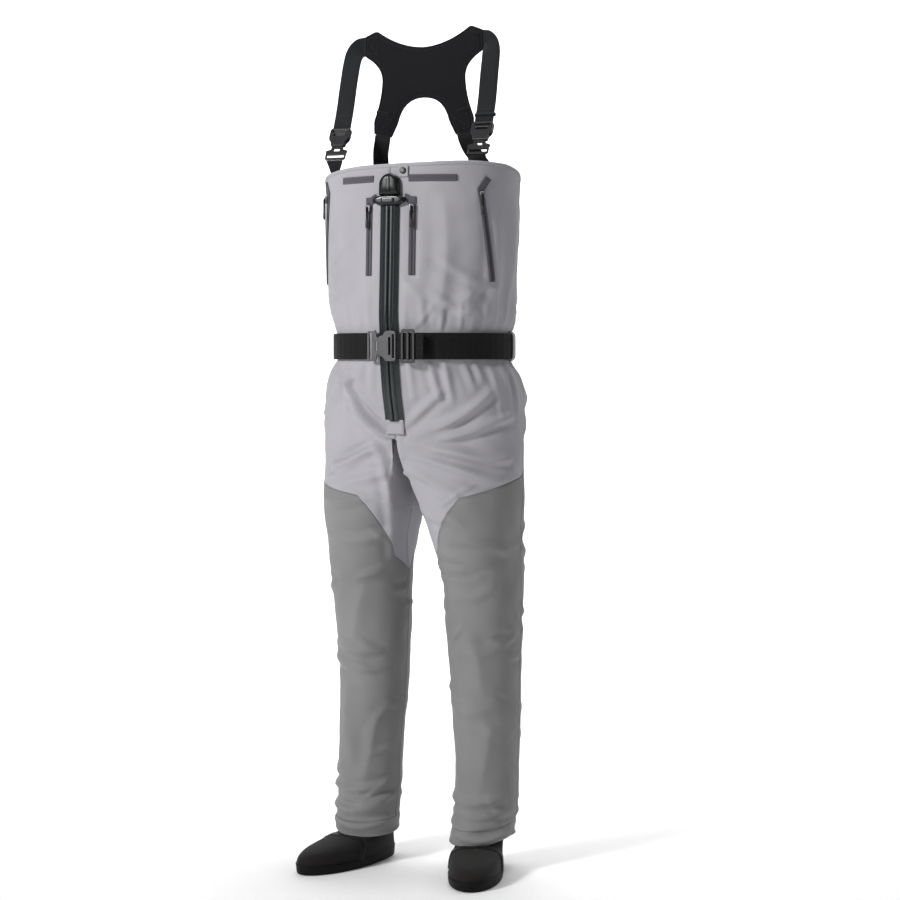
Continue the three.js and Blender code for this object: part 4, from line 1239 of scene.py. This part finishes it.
class WADERS_OT_booties(Piece):
    """Neoprene booties with a rubber sole and rand."""

    bl_idname = "waders.booties"
    bl_label = "Booties"

    def make(self, fin):
        for name, side in SIDES.items():
            heights = np.concatenate([np.linspace(12.4, 62, 34), np.linspace(64, 158, 34)[1:]])
            turns = np.linspace(0, 2 * math.pi, 97)[:-1]
            z, a = np.meshgrid(heights, turns, indexing="ij")
            ring = on_foot(a, z, 0.0, side)
            wave = 0.0016 * noise_field(ring.reshape(-1, 3), 24.0, 3.0).reshape(z.shape)
            crease = 0.0022 * np.sin(z / 4.6 + 1.6 * np.cos(a)) * smoothstep(z, 58, 72)
            crease = crease * (0.5 + 0.5 * np.cos(a))
            middle = ring.mean(1, keepdims=True)
            outdir = ring - middle
            outdir[..., 2] = 0
            lift = (wave + crease) * smoothstep(z, 34, 48)
            outer = ring + unit(outdir) * lift[..., None]
            inner = on_foot(a, np.maximum(z, 16.4), 3.2, side)[::-1]
            grid = np.vstack([outer, inner])
            uvs = np.stack([np.broadcast_to(turns * 0.08, grid.shape[:2]),
                            np.concatenate([z, z[::-1]]) * MM], -1).reshape(-1, 2)
            sock = capped(f"{name} bootie", grid, fin.sock, uvs)
            finish(sock, ROOT, "sock", f"{name}_bootie")
            # Sole with a rand that rises at toe and heel
            levels = [(0.0, -2.5), (0.8, -0.6), (3, 0.4), (7, 0.9), (12, 1.0), (16, 0.6), (16.8, 0.0)]
            rings = []
            for h, out_mm in levels:
                rise = h + (3.5 * np.cos(turns) ** 2) * (h > 7)
                base = on_foot(turns, np.maximum(rise, 12.4), -1.2 - out_mm, side)
                base[:, 2] = rise * MM
                rings.append(base)
            for shrink, h in ((3.2, 16.0), (5.5, 13.0)):
                base = on_foot(turns, np.full(96, 20.0), shrink, side)
                base[:, 2] = h * MM
                rings.append(base)
            grid = np.stack(rings)
            sole = capped(f"{name} sole", grid, fin.sole, grid[..., :2].reshape(-1, 2))
            finish(sole, ROOT, "sole_rubber", f"{name}_bootie_sole")
            # Seam band across the instep, and a line of stitches along each side of it
            lines = []
            frame_of = self.instep(side)
            ribbon(f"{name} instep band", frame_of, 17.0, 1.5, fin.band, ROOT, "sock", bulge=0.25)
            lines += [offset_path(frame_of, -7.0, 0.9), offset_path(frame_of, 7.0, 0.9)]
            stitches(f"{name} bootie stitches", lines, fin.dark_thread, slot="sock", pitch=3.0)

    def instep(self, side):
        """A band over the foot: where a leaning plane meets the bootie."""
        z = np.concatenate([np.linspace(17, 45, 30), np.linspace(45.2, 57.4, 60)])
        heel, toe = along(BOOTIE, z, 1), along(BOOTIE, z, 2)
        target = 92 - 0.35 * (z - 12.4)
        turn = np.arccos(np.clip((target - (toe - heel) / 2) / ((toe + heel) / 2), -1, 1))
        turn, z = np.concatenate([turn, -turn[::-1]]), np.concatenate([z, z[::-1]])
        place = on_foot(turn, z, -1.5, side)
        around = on_foot(turn + 0.02, z, -1.5, side) - on_foot(turn - 0.02, z, -1.5, side)
        rise = on_foot(turn, z + 0.5, -1.5, side) - on_foot(turn, z - 0.5, -1.5, side)
        out = unit(np.cross(around, rise) * -side)
        run = lengths(place)
        at = np.linspace(0, run[-1], 60)
        place, out = resampled(at, run, place), resampled(at, run, out)
        middle = np.array([place[:, 0].mean(), place[:, 1].mean(), 0.02])
        out *= np.sign((out * (place - middle)).sum(1).sum())
        tangent = tangents(place)
        across = unit(np.cross(tangent, out))
        return place, across, np.cross(across, tangent)


class WADERS_OT_front_zip(Piece):
    """Two coated zip lobes with teeth, the moulded dock, the wide slider and the end patch."""

    bl_idname = "waders.front_zip"
    bl_label = "Front zip"

    def make(self, fin):
        low, high = corners("left_main_zip_tape")
        bottom, top, half = low[2] / MM, high[2] / MM, high[0] / MM
        heights = np.linspace(bottom, top, 120)
        flange, lines, teeth = 1.1, [], []
        for name, side in SIDES.items():
            frame_of = torso_frame(lambda z: 0.0, heights, 1.0)
            lobe = [(0.35, 0.2), (0.35, 2.6), (0.9, 3.9), (2.0, 4.7), (3.6, 5.2), (5.4, 5.2), (7.2, 4.8),
                    (8.7, 4.0), (9.8, 2.9), (10.4, 1.8), (11.4, flange), (half - 0.8, flange), (half, 0.6),
                    (half, 0.1)]
            profile = np.array([(x * side, y) for x, y in lobe]) * MM
            obj = sweep(f"{name} zip lobe", frame_of, profile, fin.coating)
            finish(obj, ROOT, "zip_coating", f"{name}_main_zip_tape")
            lines += [offset_path(frame_of, side * x, flange + 0.1) for x in (13.2, 16.4)]
            teeth.append(offset_path(frame_of, side * 1.5, 4.4))
        ribs = repeated("zip teeth", teeth, 3.0 * MM, (1.5 * MM, 2.2 * MM, 1.6 * MM), fin.mould)
        finish(ribs, ROOT, "zip_coating")
        stitches("zip stitches", lines, fin.dark_thread, slot="zip_coating", pitch=3.0)
        # Moulded dock
        low, high = corners("main_zip_dock")
        z = low[2] / MM
        place, across, out = (part[1] for part in torso_frame(lambda z: 0.0, [z - 1, z, z + 1], 2.0))
        up = np.cross(out, across)
        wide, tall = 21.0, (high[2] - low[2]) / MM
        arc = np.linspace(0, math.pi, 25)
        outline = [(-wide, 0.8), (-wide + 0.8, 0), (wide - 0.8, 0), (wide, 0.8)]
        outline += [(wide * math.cos(t), tall - wide + wide * math.sin(t)) for t in arc]
        body = dome("zip dock", outline, place, across, up, out, 10.5, fin.mould, 0.6)
        finish(body, ROOT, "zip_coating", "main_zip_dock")
        ridge = [(x * 0.45, y) for x, y in [(-9, 6), (9, 6), (9, 30), (5, 37), (-5, 37), (-9, 30)]]
        rib = dome("dock rib", ridge, place + out * 9.2 * MM, across, up, out, 2.6, fin.mould, 0.5, 5)
        finish(rib, ROOT, "zip_coating")
        # Wide slider with a waist and rounded ends
        low, high = corners("main_zip_slider")
        z = low[2] / MM
        base, across, out = (part[1] for part in torso_frame(lambda z: 0.0, [z - 1, z, z + 1], 3.6))
        up = np.cross(out, across)
        end = [(19, 0.8), (26, 3.6), (31, 5.2), (33.2, 8), (33.4, 11), (32.6, 14.2), (28, 16.6), (21, 18.6)]
        other = [(-x, y) for x, y in end[::-1]]
        outline = other[-1:] + [(0, 0)] + end + [(0, 19.2)] + other[:-1]
        smooth = curve_through([(x, y, 0) for x, y in outline + outline[:1]], 4)[:-1, :2]
        body = dome("zip slider", smooth, base, across, up, out, 9.4, fin.mould, 0.34, 7)
        finish(body, "main_zip_slider", "zip_coating", "main_zip_slider")
        bridge = [(-12, 4.5), (12, 4.5), (14, 7), (14, 12), (12, 14.5), (-12, 14.5), (-14, 12), (-14, 7)]
        body = dome("slider bridge", bridge, base + out * 8.4 * MM, across, up, out, 3.2, fin.mould, 0.3, 6)
        finish(body, "main_zip_slider", "zip_coating")
        # Stitched patch under the zip
        low, high = corners("zip_end_patch")
        span = np.linspace(low[2] / MM, high[2] / MM + 2, 12)
        frame_of = torso_frame(lambda z: 0.0, span, 2.0)
        ribbon("zip end patch", frame_of, 2 * high[0] / MM, 1.5, fin.light, ROOT, "shell_light",
               "zip_end_patch")
        edge = box_stitch(frame_of, 2, 20, high[0] / MM - 2.2, 0.95)[:4]
        stitches("patch stitches", edge, fin.thread, pitch=2.8)


class WADERS_OT_pocket_zips(Piece):
    """Four pocket zips with teeth, metal sliders and cord pulls."""

    bl_idname = "waders.pocket_zips"
    bl_label = "Pocket zips"

    def make(self, fin):
        lines, teeth = [], []
        for name, side in SIDES.items():
            for kind in ("chest", "side"):
                low, high = corners(f"{name}_{kind}_zip_tape")
                bottom, top = low[2] / MM, high[2] / MM
                if kind == "chest":
                    middle = abs(low[0] + high[0]) / 2 / MM
                    angle_at = lambda z, middle=middle: side * float(torso_angle(middle, z))
                else:
                    angle_at = lambda z: side * float(np.interp(z, [1135, 1310], [64.8, 52.9]))
                heights = np.linspace(bottom, top, 60)
                frame_of = torso_frame(angle_at, heights, 1.1)
                ribbon(f"{name} {kind} zip", frame_of, 13.2, 1.8, fin.trim, ROOT, "trim_grey",
                       f"{name}_{kind}_zip_tape")
                teeth += [offset_path(frame_of, x, 1.3) for x in (-0.8, 0.8)]
                lines += [offset_path(frame_of, x, 1.15) for x in (-4.6, 4.6)]
                # Flap over the top of the zip: an arm to the main zip, or a slanting flag
                if kind == "chest":
                    across_at = np.linspace(29, middle + 6.5, 16)
                    drop = 1293 - 6 * smoothstep(across_at, 29, 42)
                    place, up, out = ring_frame(torso_angle(side * across_at, drop), drop, 1.9)
                    flap = place, up, out * side
                else:
                    flag = lambda z: angle_at(top) + side * (z - top + 4) * 0.24
                    flap = torso_frame(flag, np.linspace(top - 5, top + 19, 14), 1.9)
                ribbon(f"{name} {kind} zip flap", flap, 13.5, 1.8, fin.trim, ROOT, "trim_grey")
                self.slider(fin, name, kind)
        chain = repeated("pocket zip teeth", teeth, 2.0 * MM, (1.2 * MM, 1.7 * MM, 1.1 * MM), fin.mould)
        finish(chain, ROOT, "zip_coating")
        stitches("pocket zip stitches", lines, fin.grey_thread, slot="trim_grey", pitch=2.8)

    def slider(self, fin, name, kind):
        node, pull = f"{name}_{kind}_zip_slider", f"{name}_{kind}_zip_pull"
        moulded_copy(node, f"{name} {kind} slider", fin.metal, f"{name}_{kind}_slider", "slider_metal",
                     0.0013, 3)
        low, _ = corners(pull)
        hinge, axis = hinge_of(f"{name}_{kind}_pull_swing")
        down = np.array([0, 0, -1.0])
        drop = (hinge[2] - low[2]) / MM
        turn = np.linspace(0, 7.5 * math.pi, 60)
        cords = []
        run = np.linspace(-1.0, drop - 16, 60)
        for phase in (0, math.pi):
            swirl = 1.05 * smoothstep(run, -1, 4)
            path = hinge + down * run[:, None] * MM + axis * (swirl * np.cos(turn + phase))[:, None] * MM
            path = path + np.cross(axis, down) * (swirl * np.sin(turn + phase))[:, None] * MM
            cords.append(path)
        loop = np.vstack([cords[0][::-1], cords[1]])
        cord = round_bar(f"{name} {kind} pull cord", loop, sizes().cord / MM, fin.black, 8)
        finish(cord, f"{name}_{kind}_pull", "pull_rubber", pull)
        tip_top = hinge + down * (drop - 19) * MM
        turns = np.linspace(0, 2 * math.pi, 17)[:-1]
        levels = [(0, 1.2), (0.6, 2.0), (2.5, 2.5), (9, 2.9), (15, 3.0), (17.6, 2.6), (18.8, 1.4)]
        sideways = np.cross(axis, down)
        grid = np.stack([tip_top + down * d * MM + (axis * r * np.cos(turns)[:, None]
                         + sideways * r * 0.72 * np.sin(turns)[:, None]) * MM for d, r in levels])
        drops = np.repeat([d * MM for d, _ in levels], len(turns))
        uvs = np.stack([np.tile(turns * 0.003, len(levels)), drops], -1)
        tip = capped(f"{name} {kind} pull tip", grid, fin.grip, uvs)
        finish(tip, f"{name}_{kind}_pull", "pull_rubber", pull)


class WADERS_OT_rim_details(Piece):
    """Hem tapes, snap tab and snap at the top of the chest."""

    bl_idname = "waders.rim_details"
    bl_label = "Rim details"

    def make(self, fin):
        lines = []
        for name, side in SIDES.items():
            low, high = corners(f"{name}_hem_tape")
            degrees = np.linspace(10.5, 38 if side > 0 else 34, 40) * side
            middle = (low[2] + high[2]) / 2 / MM
            frame_of = ring_frame(degrees, middle, 1.0)
            if side < 0:
                frame_of = (frame_of[0], frame_of[1], -frame_of[2])
            tall = (high[2] - low[2]) / MM
            ribbon(f"{name} hem tape", frame_of, tall, 1.6, fin.trim, ROOT, "trim_grey",
                   f"{name}_hem_tape")
            lines += [offset_path(frame_of, x, 0.95) for x in (-5, 5)]
        stitches("hem tape stitches", lines, fin.grey_thread, slot="trim_grey", pitch=2.8)
        moulded_copy("snap_tab", "snap tab", fin.light, "snap_tab", "shell_light", 0.0006, 3)
        low, high = corners("snap_cap")
        across = -hinge_of("snap_tab_lift")[1]
        up = np.array([0, 0.0414, 0.99914])
        out = np.cross(across, up)
        middle = (low + high) / 2
        turn = np.linspace(0, 2 * math.pi, 33)[:-1]
        ring = [(6.3 * math.cos(t), 6.3 * math.sin(t)) for t in turn]
        base = dome("snap", ring, middle - out * 1.2 * MM, across, up, out, 2.2, fin.snap, 0.35, 6)
        finish(base, "snap_tab", "snap_plastic", "snap_cap")
        ring = [(2.9 * math.cos(t), 2.9 * math.sin(t)) for t in turn]
        centre_of = middle + out * 0.7 * MM
        cap = dome("snap centre", ring, centre_of, across, up, out, 1.2, fin.light_cap, 0.5, 5)
        finish(cap, "snap_tab", "snap_plastic")


class WADERS_OT_belt(Piece):
    """Elastic waist belt with its buckle, tail, adjuster and side loops."""

    bl_idname = "waders.belt"
    bl_label = "Belt"

    def make(self, fin):
        wide = 50.0
        degrees = np.linspace(17.6, 345.6, 320)
        wave = 0.5 * np.sin(np.radians(degrees) * 9) + 0.3 * np.sin(np.radians(degrees) * 23 + 1)
        frame_of = ring_frame(degrees, BELT_Z, 7.5 + 0.25 * wave)
        frame_of = (frame_of[0], frame_of[1], -frame_of[2])
        ribbon("belt webbing", frame_of, wide, 3.0, fin.belt, ROOT, "webbing_black", "belt_webbing")
        ribs = [offset_path(frame_of, x, 1.62) for x in np.arange(-21.5, 22, 4.3)]
        cords = repeated("belt ribs", ribs, 2.4 * MM, (2.6 * MM, 2.5 * MM, 0.9 * MM), fin.black)
        finish(cords, ROOT, "webbing_black")
        low, high = corners("belt_tail")
        steps = np.linspace(low[0], high[0], 60)
        y = (low[1] + high[1]) / 2
        frame_of = level_frame(np.stack([steps, np.full(60, y), np.full(60, BELT_Z * MM)], 1))
        ribbon("belt tail", frame_of, wide, 2.2, fin.belt, "belt_release", "webbing_black", "belt_tail")
        ribs = [offset_path(frame_of, x, 1.2) for x in np.arange(-21.5, 22, 4.3)]
        cords = repeated("tail ribs", ribs, 2.4 * MM, (2.6 * MM, 2.5 * MM, 0.9 * MM), fin.black)
        finish(cords, "belt_release", "webbing_black")
        moulded_copy("belt_buckle_male", "belt buckle prongs", fin.belt_buckle, ROOT, "buckle_plastic",
                     0.0008, 3)
        moulded_copy("belt_buckle_female", "belt buckle socket", fin.belt_buckle, "belt_release",
                     "buckle_plastic", 0.0014, 3)
        moulded_copy("belt_tri_glide", "belt adjuster", fin.belt_frame, "belt_glide", "buckle_plastic",
                     0.0008, 3)
        lines = []
        for name, side in SIDES.items():
            low, high = corners(f"{name}_belt_loop")
            tall = (high[2] - low[2]) / MM
            height = np.linspace(-tall / 2 + 1, tall / 2 - 1, 40)
            off = 2.0 + 9.2 * (1 - np.clip(np.abs(height) / (tall / 2), 0, 1) ** 8)
            place = on_torso(np.full(40, 95.0 * side), BELT_Z + 0 * height, off)
            place[:, 2] = (BELT_Z + height) * MM
            ahead = on_torso(96.0 * side, BELT_Z, 5.0) - on_torso(94.0 * side, BELT_Z, 5.0)
            ahead /= np.linalg.norm(ahead)
            tangent = tangents(place)
            across = np.broadcast_to(ahead, place.shape)
            out = np.cross(across, tangent)
            out *= np.sign((out * (place - np.array([0, BODY_Y * MM, 0]))).sum(1))[:, None]
            loop = sweep(f"{name} belt loop", (place, across, out),
                         webbing_section(18, 2.0, 0.1), fin.light)
            finish(loop, ROOT, "shell_light", f"{name}_belt_loop")
            frame_of = (place, across, out)
            lines += [offset_path(frame_of, x, 1.15) for x in (-7, 7)]
        stitches("belt loop stitches", lines, fin.thread, pitch=3.0)


class WADERS_OT_harness(Piece):
    """Neoprene yoke, straps with stitched ends, and the shoulder buckles."""

    bl_idname = "waders.harness"
    bl_label = "Harness"

    def make(self, fin):
        self.yoke(fin)
        up = (0, 0.4609, 0.8874)
        top = (149, -84, 1374)

        def at_buckle(reach, side):
            return (side * top[0], top[1] + up[1] * reach, top[2] + up[2] * reach)

        slate_lines, black_lines, anchor_lines = [], [], []
        for name, side in SIDES.items():
            def row(x, y, z, *width):
                return ((side * x, y, z), (width[0], width[1], side * width[2]))
            level = lambda a: (math.cos(math.radians(a)), side * math.sin(math.radians(a)), 0)
            loop = [((side * 149, -84, 1334), level(40)), ((side * 149, -82.5, 1349), level(39)),
                    ((side * 149, -83, 1362), level(20)), (at_buckle(-1.2, side), level(0))]
            frame_of = ribbon_frame(loop, 10)
            ribbon(f"{name} bib loop", frame_of, 35, 2.6, fin.black, ROOT, "webbing_black",
                   f"{name}_bib_loop", bulge=0.15)
            anchor_lines += box_stitch(frame_of, 3, 16, 14, 1.4)
            for part, body, bevel in (("male", ROOT, 0.0007), ("female", "harness", 0.0016)):
                node = f"{name}_shoulder_buckle_{part}"
                moulded_copy(node, f"{name} shoulder buckle {part}", fin.buckle, body, "buckle_plastic",
                             bevel, 3)
            front = [(at_buckle(70.35, side), (1, 0, 0)), row(149, -36, 1478, 1, 0, 0),
                     row(148, -22, 1530, 1, 0, 0), row(146.5, -9, 1572, 0.97, 0, 0.15),
                     row(142, -2, 1590, 0.74, 0, 0.68), row(134, 2.4, 1599, 0.1, 0, 1),
                     row(126.5, 4, 1600.5, 0, 0, 1), row(112, 4, 1603, 0, 0, 1)]
            frame_of = ribbon_frame(front, 14)
            ribbon(f"{name} front strap", frame_of, 38, 2.4, fin.slate, "harness", "webbing_slate",
                   f"{name}_front_strap", bulge=0.15)
            slate_lines += box_stitch(frame_of, 6, 22, 15.5, 1.45)
            if side > 0:
                self.keeper(fin, name, side, frame_of)
            slate_lines += [offset_path(frame_of, x, 1.5) for x in (-17.2, 17.2)]
            back = [((side * 118, 86.0, 1329.5), (1, 0, 0)), row(116, 74, 1343, 1, 0, 0),
                    row(108, 42, 1366, 1, 0, 0.1), row(97, 15, 1392, 0.98, 0, 0.24),
                    row(90, 6, 1412, 0.97, 0, 0.24), row(87, YOKE_Y, 1425.5, 0.97, 0, 0.236)]
            frame_of = ribbon_frame(back, 12)
            ribbon(f"{name} back strap", frame_of, 34, 2.4, fin.black, "harness", "webbing_black",
                   f"{name}_back_strap", bulge=0.15)
            black_lines += [offset_path(frame_of, x, 1.45) for x in (-15.2, 15.2)]
            anchor = [((side * 118, 90.5, 1280), level(-24.5)), ((side * 118, 90, 1299), level(-24)),
                      ((side * 118, 88, 1314), level(-16)), ((side * 118, 87, 1327.5), level(0))]
            frame_of = ribbon_frame(anchor, 10)
            ribbon(f"{name} back anchor", frame_of, 34, 2.4, fin.black, ROOT, "webbing_black",
                   f"{name}_back_anchor", bulge=0.15)
            anchor_lines += box_stitch(frame_of, 3, 20, 13.5, -1.35)
        stitches("front strap stitches", slate_lines, fin.dark_thread, "harness", "webbing_slate", 3.2)
        stitches("back strap stitches", black_lines, fin.dark_thread, "harness", "webbing_black", 3.2)
        stitches("anchor stitches", anchor_lines, fin.dark_thread, ROOT, "webbing_black", 3.2)

    def keeper(self, fin, name, side, frame_of):
        """A short fold of elastic that holds the strap's spare end, wider than the strap."""
        places, across, out = frame_of
        i = np.searchsorted(lengths(places), 0.014)
        reach = np.linspace(-20, 21.5, 14)
        path = places[i] + across[i] * side * reach[:, None] * MM + out[i] * 0.2 * MM
        tangent = (places[i + 1] - places[i - 1])
        tangent /= np.linalg.norm(tangent)
        frame_of = (path, np.broadcast_to(tangent, path.shape), np.broadcast_to(out[i], path.shape))
        ribbon(f"{name} strap keeper", frame_of, 8, 5.0, fin.black, "harness", "webbing_black")

    def outline(self):
        def bend(a, control, b, count=8):
            t = np.linspace(0, 1, count + 1)[1:, None]
            a, control, b = map(np.array, (a, control, b))
            return (a * (1 - t) ** 2 + 2 * control * t * (1 - t) + b * t * t).tolist()

        def straight(a, b, count=4):
            t = np.linspace(0, 1, count + 1)[1:, None]
            return (np.array(a) * (1 - t) + np.array(b) * t).tolist()

        half = [[0, 1591]]
        half += bend((0, 1591), (52, 1593), (99.5, 1627))
        half += straight((99.5, 1627), (122.5, 1618))
        half += straight((122.5, 1618), (122.5, 1583))
        half += bend((122.5, 1583), (85, 1563), (85, 1533))
        half += bend((85, 1533), (86, 1495), (103, 1455))
        half += straight((103, 1455), (103, 1432), 3)
        half += straight((103, 1432), (70, 1424))
        half += straight((70, 1424), (57, 1450), 3)
        half += bend((57, 1450), (45, 1499), (0, 1499))
        return half + [[-x, z] for x, z in half[1:-1][::-1]]

    def yoke(self, fin):
        line = np.array(self.outline(), float)
        loop = np.vstack([line, line[:1]])
        run = lengths(loop)
        count = int(run[-1] / 5)
        at = np.linspace(0, run[-1], count, endpoint=False)
        edge = np.stack([np.interp(at, run, loop[:, k]) for k in (0, 1)], 1)
        spots = [Vector(p) for p in edge]
        inner = []
        for x in np.arange(-122, 123, 5.5):
            for z in np.arange(1424, 1628, 5.5):
                gap = np.linalg.norm(edge - (x, z), axis=1).min()
                if gap > 3.5:
                    inner.append(Vector((x, z)))
        ring = [(i, (i + 1) % count) for i in range(count)]
        vertices, _, faces, _, _, _ = delaunay_2d_cdt(spots + inner, ring, [], 1, 1e-4)
        flat = np.array([tuple(v) for v in vertices])
        gap = np.array([np.linalg.norm(edge - p, axis=1).min() for p in flat])
        puff = 1.6 + 1.5 * (1 - np.exp(-gap / 7))
        ripple = 1.1 * noise_field(placed(flat[:, 0], 0, flat[:, 1]), 16.0, 4.0) * smoothstep(gap, 4, 20)
        front = placed(flat[:, 0], YOKE_Y - puff + ripple, flat[:, 1])
        back = placed(flat[:, 0], YOKE_Y + puff + ripple, flat[:, 1])
        size = len(flat)
        pairs = {(a, b) for f in faces for a, b in zip(f, list(f[1:]) + [f[0]])}
        rim = [(a, b) for a, b in pairs if (b, a) not in pairs]
        all_faces = [list(f) for f in faces] + [[i + size for i in f][::-1] for f in faces]
        all_faces += [[a, b, b + size, a + size][::-1] for a, b in rim]
        pad = outward(make_object("yoke", np.vstack([front, back]), all_faces, fin.neoprene,
                                  np.vstack([flat, flat]) * MM))
        finish(pad, "harness", "neoprene", "back_yoke")
        place = placed(edge[:, 0], YOKE_Y, edge[:, 1])
        tangent = unit(np.roll(place, -1, 0) - np.roll(place, 1, 0))
        out = np.broadcast_to([0.0, -1, 0], place.shape)
        across = np.cross(tangent, out)
        turn = np.linspace(0, 2 * math.pi, 14, endpoint=False)
        wide = sizes().binding / MM / 2
        ring = np.stack([wide * np.cos(turn), 2.9 * np.sin(turn)], 1) * MM
        bound_edge = sweep("yoke binding", (place, across, out), ring, fin.binding, closed_path=True)
        finish(bound_edge, "harness", "neoprene")
        # Stitches beside the binding, and boxes where the straps join
        inward = place + across * (wide + 1.4) * MM * self.inner_sign(edge, across)
        lines = [inward + out * 2.75 * MM]
        lines[0] = np.vstack([lines[0], lines[0][:1]])
        for side in (1, -1):
            lines += self.box(side, (74, 1430), (98, 1436), (92, 1462), (66, 1455))
            lines += self.box(side, (118, 1588), (118, 1614), (99, 1618), (99, 1584))
        stitches("yoke stitches", lines, fin.dark_thread, "harness", "neoprene", 3.2)
        for side in (1, -1):
            places = placed([side * 70, side * 99], [YOKE_Y - 3.6] * 2, [1466, 1473])
            frame_of = level_frame(np.linspace(places[0], places[1], 12))
            ribbon(f"sleeve edge {side + 1}", frame_of, 5.5, 1.3, fin.binding, "harness", "neoprene",
                   bulge=0.25)

    def inner_sign(self, edge, across):
        test = edge[0] + across[0][[0, 2]] * 5
        return -1.0 if test[1] > edge[0][1] else 1.0

    def box(self, side, *spots):
        ends = [placed(side * x, YOKE_Y - 3.35, z) for x, z in spots]
        pairs = [(0, 1), (1, 2), (2, 3), (3, 0), (0, 2), (1, 3)]
        return [np.linspace(ends[a], ends[b], 10) for a, b in pairs]


PIECES = (
    WADERS_OT_stage, WADERS_OT_shell, WADERS_OT_seams, WADERS_OT_booties, WADERS_OT_front_zip,
    WADERS_OT_pocket_zips, WADERS_OT_rim_details, WADERS_OT_belt, WADERS_OT_harness,
)


class WADERS_PT_panel(bpy.types.Panel):
    """Lists the pieces and their settings."""

    bl_label = "Chest Waders"
    bl_idname = "WADERS_PT_panel"
    bl_space_type = "VIEW_3D"
    bl_region_type = "UI"
    bl_category = "Waders"

    def draw(self, context):
        for operator in PIECES:
            self.layout.operator(operator.bl_idname)
        for group in (context.scene.waders_colours, context.scene.waders_sizes):
            box = self.layout.box()
            for name in group.__annotations__:
                box.prop(group, name)


CLASSES = (WadersColours, WadersSizes, *PIECES, WADERS_PT_panel)


def register():
    for c in CLASSES:
        bpy.utils.register_class(c)
    bpy.types.Scene.waders_colours = bpy.props.PointerProperty(type=WadersColours)
    bpy.types.Scene.waders_sizes = bpy.props.PointerProperty(type=WadersSizes)


def unregister():
    del bpy.types.Scene.waders_sizes
    del bpy.types.Scene.waders_colours
    for c in reversed(CLASSES):
        bpy.utils.unregister_class(c)


def main():
    register()
    for piece in PIECES:
        space, name = piece.bl_idname.split(".")
        if getattr(getattr(bpy.ops, space), name)() != {"FINISHED"}:
            raise RuntimeError(f"{piece.bl_label} was not made")


if __name__ == "__main__":
    main()
